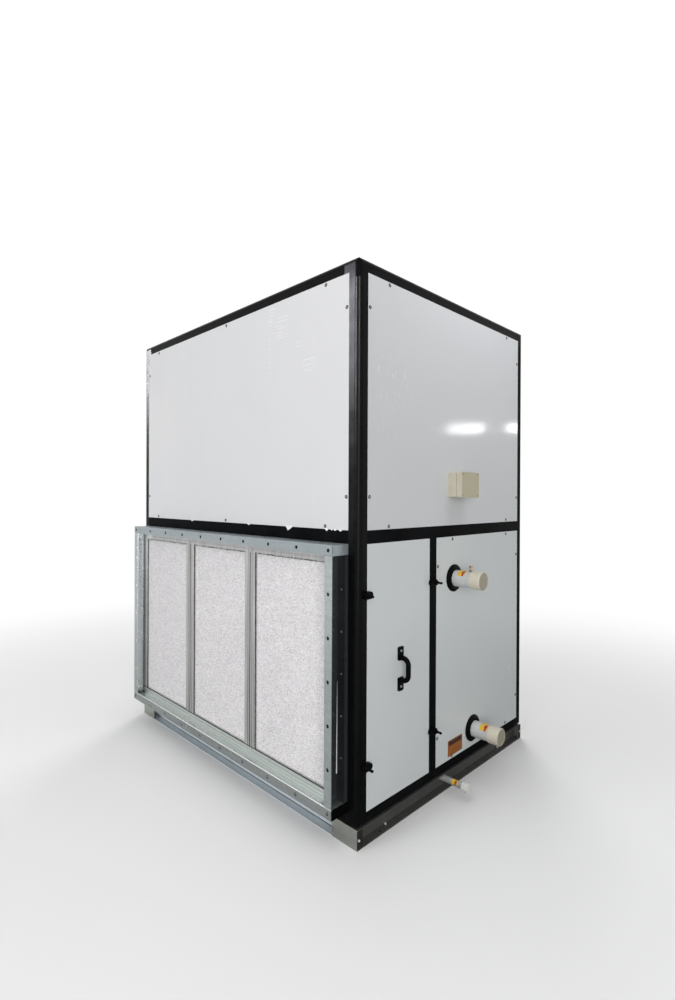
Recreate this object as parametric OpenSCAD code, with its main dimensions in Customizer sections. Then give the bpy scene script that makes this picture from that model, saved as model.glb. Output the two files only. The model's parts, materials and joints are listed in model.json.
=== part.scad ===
// Vertical air handling unit: framed cabinet on a channel base, filtered air inlet with a
// drilled flange at the front, coil connections at the right side and an air outlet in the roof.
// Millimetres, +Z up, front towards -Y. The origin is on the floor under the cabinet's centre.

/* [Cabinet] */
// Width of the cabinet, left to right
cab_w = 1740; // [1500:10:2200]
// Depth of the cabinet, front to back
cab_d = 1300; // [1250:10:1800]
// Height of the lower panels
lower_h = 1000; // [950:10:1200]
// Height of the upper panels
upper_h = 960; // [900:10:1200]
// Thickness of the insulated panels
panel_t = 48; // [30:1:50]
// Gap between a panel and the profiles around it
panel_gap = 0.6; // [0.3:0.1:0.9]

/* [Frame profiles] */
// Visible width of the frame profiles
rail = 50; // [45:1:60]
// Radius on the outer edge of the edge profiles
edge_r = 20; // [8:1:24]
// Wall thickness of the profiles
profile_wall = 2.5; // [1.5:0.1:4]
// Width of the grooves beside the rounded edge of the edge profiles
groove_w = 1.8; // [1:0.1:3]
// Depth of the grooves beside the rounded edge of the edge profiles
groove_t = 0.9; // [0.5:0.1:1.2]
// Length of each leg of a corner connector
corner_leg = 75; // [70:1:100]

/* [Base] */
// Height of the base channels
base_h = 75; // [70:1:140]
// Sheet thickness of the base channels
base_sheet = 3; // [2:0.5:5]
// Depth of the base channels, from web to outer edge
base_lip = 38; // [32:1:60]
// Width of the closing plates at the base corners
corner_plate_w = 130; // [80:5:200]
// Length of the plates' returns round the base corners
corner_return = 28; // [15:1:60]
// Diameter of the floor anchor holes
anchor_d = 14; // [10:1:18]
// Distance of the anchor holes from the front and the rear of the base
anchor_inset = 150; // [60:5:300]

/* [Air inlet] */
// Distance of the inlet flange in front of the cabinet
inlet_depth = 85; // [70:1:140]
// Width of the inlet flange
inlet_flange = 40; // [30:1:50]
// Sheet thickness of the inlet collar
inlet_sheet = 2; // [1:0.5:3]
// Outer radius of the folds in the inlet collar
fold_r = 4; // [3.5:0.5:6]
// Diameter of the flange holes
flange_hole_d = 14; // [8:0.5:16]
// Number of holes along the top and the bottom of the inlet flange
holes_across = 10; // [4:2:16]
// Number of holes up each side of the inlet flange, corners included
holes_up = 7; // [4:1:12]
// Thickness of the black strips beside the inlet collar
strip_t = 17; // [8:1:30]

/* [Filters] */
// Distance of the filters behind the inlet flange
filter_setback = 43; // [20:1:60]
// Thickness of a filter
filter_t = 46; // [25:1:60]
// Width of the upright bars of a filter frame
filter_stile = 38; // [20:1:50]
// Width of the top and bottom bars of a filter frame
filter_bar = 30; // [20:1:50]
// Gap around each filter
filter_gap = 0.4; // [0.2:0.1:0.9]
// Thickness of the filter pad
media_t = 20; // [10:1:24]
// Distance of the filter pad behind the face of its frame
media_setback = 5; // [2:0.5:10]
// Depth of the groove that holds the pad
media_groove = 14; // [6:1:18]
// Clearance of the pad in its groove
media_gap = 0.3; // [0.1:0.1:0.8]
// Width of the folded hem round the face of a filter frame
hem_w = 13; // [8:1:16]
// Width and depth of the groove inside the hem
hem_groove = 2; // [1:0.5:3]

/* [Access panel] */
// Width of the access panel
access_w = 400; // [300:5:500]
// Height of the handle's middle above the lower edge of the panel
handle_up = 491; // [300:1:700]
// Length of the handle over its feet
handle_len = 176; // [140:1:220]
// Height of the handle off the panel
handle_proud = 51; // [46:1:70]
// Diameter of the handle's bar
handle_bar_d = 20; // [12:1:22]
// Size of the handle's square feet
handle_foot = 34; // [28:1:38]
// Thickness of the handle's feet
handle_foot_t = 5; // [3:0.5:8]
// Radius of the corners of the handle's feet
handle_foot_r = 6; // [2:1:10]
// Diameter of the screw holes in the handle's feet
handle_hole_d = 7; // [5:0.5:9]
// Radius of the bends in the handle's bar
handle_bend = 24; // [18:1:28]
// Height of the lower clamps above the lower edge of the panel
clamp_low = 174; // [80:1:300]
// Height of the upper clamps above the lower edge of the panel
clamp_high = 811; // [600:1:850]
// Reach of a clamp's tongue from its bolt
clamp_reach = 33; // [30:1:60]
// Width of a clamp's tongue
clamp_w = 28; // [20:1:36]
// Thickness of a clamp's tongue
clamp_t = 16; // [10:1:24]
// Diameter of a clamp's bolt
clamp_bolt_d = 8; // [5:1:10]
// Length of the knob that stands out of a clamp
clamp_knob_len = 26; // [15:1:40]
// Distance of the post clamps' bolts from the access panel
clamp_edge = 16; // [12:1:20]

/* [Water pipes] */
// Outer diameter of the water pipes
pipe_d = 73; // [48:1:90]
// Wall thickness of the water pipes
pipe_wall = 4; // [2:0.5:6]
// Reach of the pipe caps past the side of the cabinet
pipe_reach = 150; // [120:1:220]
// Distance of the upper pipe from the front edge of the coil panel
upper_pipe_in = 138; // [110:1:300]
// Distance of the upper pipe below the top edge of the coil panel
upper_pipe_down = 188; // [120:1:300]
// Distance of the lower pipe from the front edge of the coil panel
lower_pipe_in = 302; // [110:1:500]
// Distance of the lower pipe above the lower edge of the coil panel
lower_pipe_up = 84; // [75:1:250]
// Outer diameter of the pipe rosettes
rosette_d = 122; // [112:1:150]
// Thickness of the pipe rosettes
rosette_t = 12; // [6:1:20]
// Length of the pipe caps
pipe_cap_len = 54; // [40:1:90]
// Wall thickness of the pipe caps
pipe_cap_wall = 3; // [2:0.5:5]
// Radius round the end of the pipe caps
pipe_cap_r = 6; // [2:1:10]
// Width of the raised rim round the end of the pipe caps
pipe_cap_rim = 8; // [7:1:14]
// Depth of the end of the pipe caps inside that rim
pipe_cap_dish = 1; // [0.5:0.1:1.5]
// Clearance of a pipe in its rosette and in its cap
pipe_gap = 0.2; // [0.1:0.1:0.6]
// Outer diameter of the drain pipe
drain_d = 27; // [20:1:30]
// Distance of the drain pipe from the front edge of the coil panel
drain_in = 72; // [40:1:300]
// Height of the drain pipe above the floor
drain_z = 55; // [45:1:56]
// Reach of the drain cap past the side of the cabinet
drain_reach = 125; // [80:1:160]
// Diameter of the drain cap
drain_cap_d = 40; // [38:1:60]
// Length of the drain cap
drain_cap_len = 33; // [25:1:50]
// Number of grip flutes round the drain cap
drain_flutes = 10; // [6:1:16]

/* [Junction box] */
// Width of the junction box
jbox_w = 140; // [90:1:200]
// Height of the junction box
jbox_h = 110; // [80:1:200]
// Depth of the junction box with its lid
jbox_depth = 70; // [50:1:100]
// Thickness of the lid
jbox_lid = 27; // [12:1:35]
// Width and depth of the groove between the box and its lid
jbox_seam = 2.5; // [1:0.5:4]
// Overhang of the lid over the box
jbox_lip = 1.5; // [0.5:0.5:4]
// Diameter of the screw recesses in the lid
jbox_screw_d = 8; // [6:1:12]
// Depth of the screw recesses in the lid
jbox_screw_t = 3; // [1:0.5:6]
// Radius of the box corners
jbox_r = 6; // [2:1:12]
// Place of the box's middle, behind the middle of the cabinet
jbox_y = 10; // [-300:1:300]
// Distance of the box above the middle rail
jbox_up = 125; // [60:1:600]

/* [Air outlet and fan] */
// Width of the air outlet, along the cabinet's width
outlet_w = 520; // [400:5:700]
// Height of the outlet collar above the roof
outlet_h = 80; // [50:1:120]
// Outer diameter of the fan wheel
wheel_d = 450; // [360:5:480]
// Number of blades on the fan wheel
blade_count = 36; // [20:1:48]
// Sheet thickness of the fan and its housing
fan_sheet = 3; // [2:0.5:5]
// Smallest gap between the wheel and the scroll
scroll_gap = 25; // [15:1:40]
// Growth of the scroll's radius from the tongue to the outlet
scroll_growth = 150; // [100:5:180]
// Height of the roof above the fan's axis
fan_drop = 470; // [440:5:500]
// Diameter of the fan motor
motor_d = 180; // [120:5:220]

/* [Hidden] */
$fn = 48;

// Overlap that makes a cut pass clean through a face
cut = 1;
// Running clearance between a clamp's bolt and its hole, on the radius
bolt_gap = 0.05;
// Air between a clamp and the faces that it lies against
clamp_gap = 0.5;

// Heights of the frame
lower_z = base_h + rail;
middle_z = lower_z + lower_h;
upper_z = middle_z + rail;
roof_z = upper_z + upper_h;
top_z = roof_z + rail;
frame_h = top_z - base_h;

// Faces of the cabinet and of the openings between its profiles
side_x = cab_w / 2;
front_y = -cab_d / 2;
bay_x = side_x - rail;
bay_y = cab_d / 2 - rail;
mullion_y0 = -bay_y + access_w;
mullion_y1 = mullion_y0 + rail;

// Base channels
web_x = side_x - base_lip;
anchor_x = side_x - (base_lip - base_sheet) / 2;
anchor_y = cab_d / 2 - anchor_inset;

// Inlet collar
flange_y = front_y - inlet_depth;
inlet_x = bay_x - inlet_flange;
inlet_z0 = lower_z + inlet_flange;
inlet_z1 = middle_z - inlet_flange;
hole_x = bay_x - inlet_flange / 2;
hole_z0 = lower_z + inlet_flange / 2;
hole_z1 = middle_z - inlet_flange / 2;
hole_pitch_x = 2 * hole_x / (holes_across - 1);
hole_pitch_z = (hole_z1 - hole_z0) / (holes_up - 1);

// Filters, three side by side
filter_count = 3;
filter_w = 2 * inlet_x / filter_count;
filter_y = flange_y + filter_setback;

// Access panel and its fittings
access_mid_y = (mullion_y0 - bay_y) / 2;
post_clamp_y = -bay_y - clamp_edge;
mullion_clamp_y = (mullion_y0 + mullion_y1) / 2;

// Pipes
upper_pipe = [mullion_y1 + upper_pipe_in, middle_z - upper_pipe_down];
lower_pipe = [mullion_y1 + lower_pipe_in, lower_z + lower_pipe_up];
drain_y = mullion_y1 + drain_in;
cap_x = side_x + pipe_reach;
// Bleed cock: its body and its stem
vent_d = 10;
vent_stem_d = 6;
vent_x = cap_x - pipe_cap_len - vent_d;

// Junction box
jbox_z = upper_z + jbox_up;

// Fan and outlet: the scroll starts at its tongue above the axis and opens towards the outlet
fan_z = roof_z + rail - panel_t - fan_drop;
scroll_r0 = wheel_d / 2 + scroll_gap;
scroll_r1 = scroll_r0 + scroll_growth;
outlet_d = scroll_r1;
fan_y = -outlet_d / 2;
// Width of the throat's flange, and air between the wheel and the inlet rings
throat_flange = 30;
wheel_gap = 6;
// Width of the wheel, radius of its blades' curve and of its eye
wheel_w = 0.8 * outlet_w;
blade_r = 32;
blade_depth = 40;
eye_r = wheel_d / 2 - blade_depth;

// Plain colours, one for each material
panel_white = [0.87, 0.88, 0.89];
frame_black = [0.09, 0.09, 0.1];
galvanised = [0.62, 0.66, 0.66];
filter_metal = [0.66, 0.67, 0.65];
pad_white = [0.86, 0.84, 0.84];
cream = [0.86, 0.84, 0.76];
fitting_black = [0.05, 0.05, 0.05];
pipe_white = [0.84, 0.84, 0.82];
brass = [0.72, 0.6, 0.36];
drain_metal = [0.5, 0.5, 0.5];
motor_grey = [0.25, 0.27, 0.3];

// Local frame at one corner of the cabinet, with +X, +Y and +Z pointing inwards
module at_corner(sx, sy, sz) {
    translate([sx * side_x, sy * cab_d / 2, sz > 0 ? top_z : base_h])
        mirror([sx > 0 ? 1 : 0, 0, 0])
            mirror([0, sy > 0 ? 1 : 0, 0])
                mirror([0, 0, sz > 0 ? 1 : 0])
                    children();
}

// Stands an extrusion on end, so that it runs along X or along Y
module along_x() {
    rotate([90, 0, 90]) children();
}

module along_y(length) {
    translate([0, length, 0]) rotate([90, 0, 0]) children();
}

// Rectangle with its corner at the origin rounded
module rounded_corner(size, r) {
    translate([r, r]) circle(r);
    translate([r, 0]) square([size[0] - r, size[1]]);
    translate([0, r]) square([size[0], size[1] - r]);
}

// Rectangle about the origin with all its corners rounded
module rounded_square(size, r) {
    square([size[0] - 2 * r, size[1]], center = true);
    square([size[0], size[1] - 2 * r], center = true);
    for (x = [-1, 1], y = [-1, 1])
        translate([x * (size[0] / 2 - r), y * (size[1] / 2 - r)]) circle(r);
}

// Section of the hollow edge profile, with a groove on each side of its rounded edge
module edge_section() {
    inner = rail - 2 * profile_wall;
    difference() {
        rounded_corner([rail, rail], edge_r);
        translate([profile_wall, profile_wall])
            rounded_corner([inner, inner], edge_r - profile_wall);
        translate([edge_r, -cut]) square([groove_w, groove_t + cut]);
        translate([-cut, edge_r]) square([groove_t + cut, groove_w]);
    }
}

// Section of a folded channel that is closed at x = 0 and open at the far end of its depth
module channel_section(depth, width) {
    module outline(d, w, r) {
        translate([r, 0]) square([d - r, w]);
        translate([0, r]) square([d, w - 2 * r]);
        for (y = [r, w - r])
            translate([r, y]) circle(r);
    }
    difference() {
        outline(depth, width, fold_r);
        translate([inlet_sheet, inlet_sheet])
            outline(depth, width - 2 * inlet_sheet, fold_r - inlet_sheet);
    }
}

// Hollow flat profile between two others
module flat_profile(size, axis) {
    hollow = [for (i = [0:2]) i == axis ? size[i] + 2 * cut : size[i] - 2 * profile_wall];
    inset = [for (i = [0:2]) i == axis ? -cut : profile_wall];
    difference() {
        cube(size);
        translate(inset) cube(hollow);
    }
}

module box(low, high) {
    translate(low) cube(high - low);
}

// Base

// Channel along X that opens towards -Y, with its web at the back
module base_channel(length) {
    along_x()
        linear_extrude(length)
            difference() {
                square([base_lip, base_h]);
                translate([-cut, base_sheet])
                    square([base_lip - base_sheet + cut, base_h - 2 * base_sheet]);
            }
}

module base_side_rails() {
    length = cab_d - 2 * base_sheet;
    color(galvanised)
        difference() {
            for (side = [-1, 1])
                rotate(side > 0 ? 90 : -90)
                    translate([-length / 2, -side_x, 0])
                        base_channel(length);
            for (sx = [-1, 1], sy = [-1, 1])
                translate([sx * anchor_x, sy * anchor_y, -cut])
                    cylinder(d = anchor_d, h = base_sheet + 2 * cut);
            translate([web_x - cut, drain_y, drain_z])
                rotate([0, 90, 0])
                    cylinder(d = drain_d + 2 * pipe_gap, h = base_sheet + 2 * cut);
        }
}

module base_cross_rails() {
    length = 2 * web_x;
    color(galvanised)
        for (side = [-1, 1])
            rotate(side > 0 ? 180 : 0)
                difference() {
                    translate([-length / 2, front_y, 0]) base_channel(length);
                    for (end = [-1, 1])
                        translate([end * (side_x - corner_plate_w / 2), front_y, base_h / 2])
                            cube([corner_plate_w, 2 * base_sheet, base_h + 2 * cut], center = true);
                }
}

// Folded plates that close the channel ends, with a return between the flanges of the side rails
module base_corner_plates() {
    color(galvanised)
        for (sx = [0, 1], sy = [0, 1])
            mirror([sx, 0, 0])
                mirror([0, sy, 0]) {
                    box([side_x - corner_plate_w, front_y, 0], [side_x, front_y + base_sheet, base_h]);
                    box([side_x - base_sheet, front_y, base_sheet],
                        [side_x, front_y + base_sheet + corner_return, base_h - base_sheet]);
                }
}

// Frame

module clamp_holes(y) {
    for (z = [clamp_low, clamp_high])
        translate([side_x - profile_wall - cut, y, lower_z + z])
            rotate([0, 90, 0])
                cylinder(r = clamp_bolt_d / 2 + bolt_gap, h = profile_wall + 2 * cut);
}

module posts(sy) {
    for (sx = [-1, 1])
        at_corner(sx, sy, -1)
            translate([0, 0, corner_leg])
                linear_extrude(frame_h - 2 * corner_leg)
                    edge_section();
}

module front_posts() {
    color(frame_black)
        difference() {
            posts(-1);
            clamp_holes(post_clamp_y);
        }
}

module rear_posts() {
    color(frame_black) posts(1);
}

// Three-way connector with rounded outer edges
module corner_connector() {
    reach = [corner_leg, corner_leg];
    intersection() {
        union() {
            cube([corner_leg, rail, rail]);
            cube([rail, corner_leg, rail]);
            cube([rail, rail, corner_leg]);
        }
        linear_extrude(corner_leg) rounded_corner(reach, edge_r);
        along_x() linear_extrude(corner_leg) rounded_corner(reach, edge_r);
        along_y(corner_leg) linear_extrude(corner_leg) rounded_corner(reach, edge_r);
    }
}

module corner_connectors() {
    color(frame_black)
        for (sx = [-1, 1], sy = [-1, 1], sz = [-1, 1])
            at_corner(sx, sy, sz) corner_connector();
}

module edge_rails(sz) {
    length_x = cab_w - 2 * corner_leg;
    length_y = cab_d - 2 * corner_leg;
    for (sy = [-1, 1])
        at_corner(-1, sy, sz)
            translate([corner_leg, 0, 0])
                along_x() linear_extrude(length_x) edge_section();
    for (sx = [-1, 1])
        at_corner(sx, -1, sz)
            translate([0, corner_leg, 0])
                along_y(length_y) linear_extrude(length_y) edge_section();
}

module top_rails() {
    color(frame_black) edge_rails(1);
}

module bottom_rails() {
    color(frame_black) edge_rails(-1);
}

module middle_rails() {
    color(frame_black) {
        for (y = [front_y, bay_y])
            translate([-bay_x, y, middle_z]) flat_profile([2 * bay_x, rail, rail], 0);
        for (x = [-side_x, bay_x])
            translate([x, -bay_y, middle_z]) flat_profile([rail, 2 * bay_y, rail], 1);
    }
}

module side_mullion() {
    color(frame_black)
        difference() {
            translate([bay_x, mullion_y0, lower_z]) flat_profile([rail, rail, lower_h], 2);
            clamp_holes(mullion_clamp_y);
        }
}

// Panels

// Panel in the front or the rear face, between two heights
module cross_panel(sy, z0, h) {
    x = bay_x - panel_gap;
    y0 = sy > 0 ? cab_d / 2 - panel_t : front_y;
    color(panel_white)
        box([-x, y0, z0 + panel_gap], [x, y0 + panel_t, z0 + h - panel_gap]);
}

// Panel in the left or the right face, between two depths and two heights
module side_panel(sx, y0, y1, z0, h) {
    x0 = sx > 0 ? side_x - panel_t : -side_x;
    color(panel_white)
        box([x0, y0 + panel_gap, z0 + panel_gap], [x0 + panel_t, y1 - panel_gap, z0 + h - panel_gap]);
}

module front_upper_panel() {
    cross_panel(-1, upper_z, upper_h);
}

module rear_upper_panel() {
    cross_panel(1, upper_z, upper_h);
}

module rear_lower_panel() {
    cross_panel(1, lower_z, lower_h);
}

module right_upper_panel() {
    side_panel(1, -bay_y, bay_y, upper_z, upper_h);
}

module left_upper_panel() {
    side_panel(-1, -bay_y, bay_y, upper_z, upper_h);
}

module left_lower_panel() {
    side_panel(-1, -bay_y, bay_y, lower_z, lower_h);
}

module access_panel() {
    side_panel(1, -bay_y, mullion_y0, lower_z, lower_h);
}

module coil_panel() {
    color(panel_white)
        difference() {
            side_panel(1, mullion_y1, bay_y, lower_z, lower_h);
            for (pipe = [upper_pipe, lower_pipe])
                translate([side_x - panel_t - cut, pipe[0], pipe[1]])
                    rotate([0, 90, 0])
                        cylinder(d = pipe_d + 2 * pipe_gap, h = panel_t + 2 * cut);
        }
}

// Panel between the edge rails, at the top or at the bottom
module level_panel(z0) {
    x = bay_x - panel_gap;
    y = bay_y - panel_gap;
    box([-x, -y, z0], [x, y, z0 + panel_t]);
}

module roof_panel() {
    color(panel_white)
        difference() {
            level_panel(top_z - panel_t);
            translate([-outlet_w / 2, -outlet_d / 2, top_z - panel_t - cut])
                cube([outlet_w, outlet_d, panel_t + 2 * cut]);
        }
}

module floor_panel() {
    color(panel_white) level_panel(base_h);
}

// Air inlet

module flange_hole(x, z) {
    translate([x, flange_y - cut, z])
        rotate([-90, 0, 0])
            cylinder(d = flange_hole_d, h = inlet_sheet + 2 * cut);
}

module flange_row(z) {
    for (i = [0:holes_across - 1])
        flange_hole(-hole_x + i * hole_pitch_x, z);
}

// Folded channel with closed ends that opens at the back, against the cabinet
module inlet_top_channel() {
    color(galvanised)
        difference() {
            union() {
                translate([-bay_x, flange_y, inlet_z1])
                    along_x() linear_extrude(2 * bay_x) channel_section(inlet_depth, inlet_flange);
                for (x = [-bay_x, bay_x - inlet_sheet])
                    box([x, flange_y + fold_r, inlet_z1], [x + inlet_sheet, front_y, middle_z]);
            }
            flange_row(hole_z1);
        }
}

// Folded channel that opens downwards
module inlet_bottom_channel() {
    color(galvanised)
        difference() {
            translate([-bay_x, flange_y, inlet_z0])
                along_x()
                    linear_extrude(2 * bay_x)
                        rotate(-90) channel_section(inlet_flange, inlet_depth);
            flange_row(hole_z0);
        }
}

// Folded angles with the flange turned outwards
module inlet_side_channels() {
    size = [inlet_flange, inlet_depth];
    color(galvanised)
        for (sx = [-1, 1])
            difference() {
                mirror([sx < 0 ? 1 : 0, 0, 0])
                    translate([inlet_x, flange_y, inlet_z0])
                        linear_extrude(inlet_z1 - inlet_z0)
                            difference() {
                                rounded_corner(size, fold_r);
                                translate([inlet_sheet, inlet_sheet])
                                    rounded_corner(size, fold_r - inlet_sheet);
                            }
                for (i = [1:holes_up - 2])
                    flange_hole(sx * hole_x, hole_z0 + i * hole_pitch_z);
            }
}

module inlet_side_strips() {
    color(frame_black)
        for (sx = [-1, 1])
            mirror([sx < 0 ? 1 : 0, 0, 0])
                box([inlet_x + inlet_sheet, front_y - strip_t, inlet_z0], [bay_x, front_y, inlet_z1]);
}

// Filters

// Frame of folded channel, with a groove all round for the pad
module filter_frame(index) {
    w = filter_w - 2 * filter_gap;
    h = inlet_z1 - inlet_z0 - 2 * filter_gap;
    open_w = w - 2 * filter_stile;
    open_h = h - 2 * filter_bar;
    groove_y = filter_y + media_setback - media_gap;
    color(filter_metal)
        translate([-inlet_x + (index + 0.5) * filter_w, 0, inlet_z0 + filter_gap])
            difference() {
                box([-w / 2, filter_y, 0], [w / 2, filter_y + filter_t, h]);
                box([-open_w / 2, filter_y - cut, filter_bar],
                    [open_w / 2, filter_y + filter_t + cut, h - filter_bar]);
                box([-open_w / 2 - media_groove, groove_y, filter_bar - media_groove],
                    [open_w / 2 + media_groove, groove_y + media_t + 2 * media_gap,
                     h - filter_bar + media_groove]);
                difference() {
                    hem_block(w, h, hem_w);
                    hem_block(w, h, hem_w + hem_groove);
                }
            }
}

// Block at the face of a filter frame, set in from its edges
module hem_block(w, h, inset) {
    box([-w / 2 + inset, filter_y - cut, inset], [w / 2 - inset, filter_y + hem_groove, h - inset]);
}

module left_filter_frame() {
    filter_frame(0);
}

module middle_filter_frame() {
    filter_frame(1);
}

module right_filter_frame() {
    filter_frame(2);
}

module filter_pads() {
    w = filter_w - 2 * (filter_gap + filter_stile - media_groove + media_gap);
    h = inlet_z1 - inlet_z0 - 2 * (filter_gap + filter_bar - media_groove + media_gap);
    y0 = filter_y + media_setback;
    z0 = inlet_z0 + filter_gap + filter_bar - media_groove + media_gap;
    color(pad_white)
        for (i = [0:filter_count - 1])
            translate([-inlet_x + (i + 0.5) * filter_w - w / 2, y0, z0])
                cube([w, media_t, h]);
}

// Access panel fittings

// Bow handle on two drilled feet
module access_handle() {
    bar_x = handle_proud - handle_bar_d / 2;
    leg_z = handle_len / 2 - handle_foot - handle_bar_d / 2;
    foot_z0 = leg_z - handle_bar_d / 2;
    foot_z1 = handle_len / 2;
    color(fitting_black)
        translate([side_x, access_mid_y, lower_z + handle_up])
            for (end = [0, 1])
                mirror([0, 0, end]) {
                    translate([0, 0, (foot_z0 + foot_z1) / 2])
                        along_x()
                            linear_extrude(handle_foot_t)
                                difference() {
                                    rounded_square([handle_foot, foot_z1 - foot_z0], handle_foot_r);
                                    translate([0, (foot_z1 - foot_z0 - handle_foot) / 2])
                                        circle(d = handle_hole_d);
                                }
                    translate([0, 0, leg_z])
                        rotate([0, 90, 0]) cylinder(d = handle_bar_d, h = bar_x - handle_bend);
                    translate([bar_x - handle_bend, 0, leg_z - handle_bend])
                        rotate([90, 0, 0])
                            rotate_extrude(angle = 90)
                                translate([handle_bend, 0]) circle(d = handle_bar_d);
                    translate([bar_x, 0, 0])
                        cylinder(d = handle_bar_d, h = leg_z - handle_bend);
                }
}

// Turn clamp on its bolt, with its tongue towards +Y or -Y
module turn_clamp(y, z, direction) {
    hub_r = clamp_w / 2;
    collar_t = clamp_t / 2;
    root_d = 1.6 * clamp_bolt_d;
    ball_d = 1.4 * clamp_bolt_d;
    color(fitting_black)
        translate([side_x, y, lower_z + z])
            mirror([0, direction < 0 ? 1 : 0, 0]) {
                translate([clamp_gap, 0, 0])
                    rotate([0, 90, 0]) {
                        linear_extrude(clamp_t) {
                            circle(hub_r);
                            translate([-hub_r, 0]) square([clamp_w, clamp_reach - hub_r]);
                            translate([0, clamp_reach - hub_r]) circle(hub_r);
                        }
                        cylinder(r1 = hub_r, r2 = clamp_bolt_d, h = clamp_t + collar_t);
                        translate([0, 0, clamp_t])
                            cylinder(d1 = root_d, d2 = clamp_bolt_d, h = clamp_knob_len);
                        translate([0, 0, clamp_t + clamp_knob_len]) sphere(d = ball_d);
                    }
                translate([-profile_wall, 0, 0])
                    rotate([0, 90, 0]) cylinder(d = clamp_bolt_d, h = profile_wall + clamp_t);
            }
}

module post_clamp_upper() {
    turn_clamp(post_clamp_y, clamp_high, 1);
}

module post_clamp_lower() {
    turn_clamp(post_clamp_y, clamp_low, 1);
}

module mullion_clamp_upper() {
    turn_clamp(mullion_clamp_y, clamp_high, -1);
}

module mullion_clamp_lower() {
    turn_clamp(mullion_clamp_y, clamp_low, -1);
}

// Junction box

// Block with rounded edges along X, in the place of the junction box
module jbox_block(x, depth, grow) {
    translate([side_x + x, jbox_y, jbox_z + jbox_h / 2])
        along_x()
            linear_extrude(depth)
                rounded_square([jbox_w + 2 * grow, jbox_h + 2 * grow], jbox_r + grow);
}

module junction_box() {
    body = jbox_depth - jbox_lid;
    color(cream) {
        jbox_block(0, body - jbox_seam, 0);
        jbox_block(0, body, -jbox_seam);
    }
}

// Overhanging lid with a screw recess in each corner
module junction_box_lid() {
    inset = jbox_screw_d;
    color(cream)
        difference() {
            jbox_block(jbox_depth - jbox_lid, jbox_lid, jbox_lip);
            for (y = [inset - jbox_w / 2, jbox_w / 2 - inset], z = [inset, jbox_h - inset])
                translate([side_x + jbox_depth - jbox_screw_t, jbox_y + y, jbox_z + z])
                    rotate([0, 90, 0]) cylinder(d = jbox_screw_d, h = jbox_screw_t + cut);
        }
}

// Pipes

module at_pipe(x, place) {
    translate([x, place[0], place[1]]) rotate([0, 90, 0]) children();
}

// Open tube from inside the panel to just short of the end of its cap
module water_pipe(place) {
    x0 = side_x - panel_t;
    length = cap_x - pipe_cap_wall - pipe_gap - x0;
    color(pipe_white)
        difference() {
            at_pipe(x0, place) cylinder(d = pipe_d, h = length);
            at_pipe(x0 - cut, place) cylinder(d = pipe_d - 2 * pipe_wall, h = length + 2 * cut);
        }
}

module upper_water_pipe() {
    difference() {
        water_pipe(upper_pipe);
        translate([vent_x, upper_pipe[0], upper_pipe[1]])
            cylinder(d = vent_stem_d + 2 * bolt_gap, h = pipe_d);
    }
}

module lower_water_pipe() {
    water_pipe(lower_pipe);
}

module pipe_rosettes() {
    color(fitting_black)
        for (place = [upper_pipe, lower_pipe])
            at_pipe(side_x, place)
                rotate_extrude()
                    polygon([
                        [pipe_d / 2 + pipe_gap, 0],
                        [rosette_d / 2, 0],
                        [rosette_d / 2, rosette_t / 3],
                        [rosette_d / 2 - rosette_t, rosette_t],
                        [pipe_d / 2 + pipe_gap, rosette_t]
                    ]);
}

module pipe_caps() {
    outer_r = pipe_d / 2 + pipe_gap + pipe_cap_wall;
    color(cream)
        for (place = [upper_pipe, lower_pipe])
            at_pipe(cap_x - pipe_cap_len, place)
                difference() {
                    rotate_extrude() cap_section(outer_r);
                    translate([0, 0, -cut])
                        cylinder(d = pipe_d + 2 * pipe_gap, h = pipe_cap_len - pipe_cap_wall + cut);
                    translate([0, 0, pipe_cap_len - pipe_cap_dish])
                        cylinder(r = outer_r - pipe_cap_rim, h = pipe_cap_dish + cut);
                }
}

// Half section of a cap with a rounded end
module cap_section(r) {
    square([r, pipe_cap_len - pipe_cap_r]);
    square([r - pipe_cap_r, pipe_cap_len]);
    translate([r - pipe_cap_r, pipe_cap_len - pipe_cap_r]) circle(pipe_cap_r);
}

// Bleed cock on the upper pipe
module air_vent() {
    stem_h = 3 * vent_d;
    nut_d = 1.5 * vent_d;
    nut_h = 0.7 * vent_d;
    body_h = 1.3 * vent_d;
    head_d = 1.6 * vent_d;
    head_h = 0.5 * vent_d;
    head_z = pipe_d / 2 + body_h + head_h;
    color(brass)
        translate([vent_x, upper_pipe[0], upper_pipe[1]])
            union() {
                translate([0, 0, pipe_d / 2 - pipe_wall]) cylinder(d = vent_stem_d, h = stem_h);
                translate([0, 0, pipe_d / 2 + 2 * bolt_gap]) {
                    cylinder(d = nut_d, h = nut_h, $fn = 6);
                    cylinder(d = vent_d, h = body_h);
                }
                translate([0, 0, head_z]) cylinder(d = head_d, h = head_h);
            }
}

module drain_pipe() {
    x0 = web_x - base_lip;
    length = side_x + drain_reach - pipe_cap_wall - x0;
    color(drain_metal)
        difference() {
            at_pipe(x0, [drain_y, drain_z]) cylinder(d = drain_d, h = length);
            at_pipe(x0 - cut, [drain_y, drain_z])
                cylinder(d = drain_d - pipe_wall, h = length + 2 * cut);
        }
}

module drain_cap() {
    x0 = side_x + drain_reach - drain_cap_len;
    flute_r = drain_cap_d / 12;
    color(pipe_white)
        difference() {
            at_pipe(x0, [drain_y, drain_z]) cylinder(d = drain_cap_d, h = drain_cap_len);
            at_pipe(x0 - cut, [drain_y, drain_z])
                cylinder(d = drain_d + 2 * pipe_gap, h = drain_cap_len - pipe_cap_wall + cut);
            at_pipe(x0 - cut, [drain_y, drain_z])
                for (i = [0:drain_flutes - 1])
                    rotate(i * 360 / drain_flutes)
                        translate([drain_cap_d / 2 + flute_r / 2, 0, 0])
                            cylinder(r = flute_r, h = drain_cap_len + 2 * cut, $fn = 24);
        }
}

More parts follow.
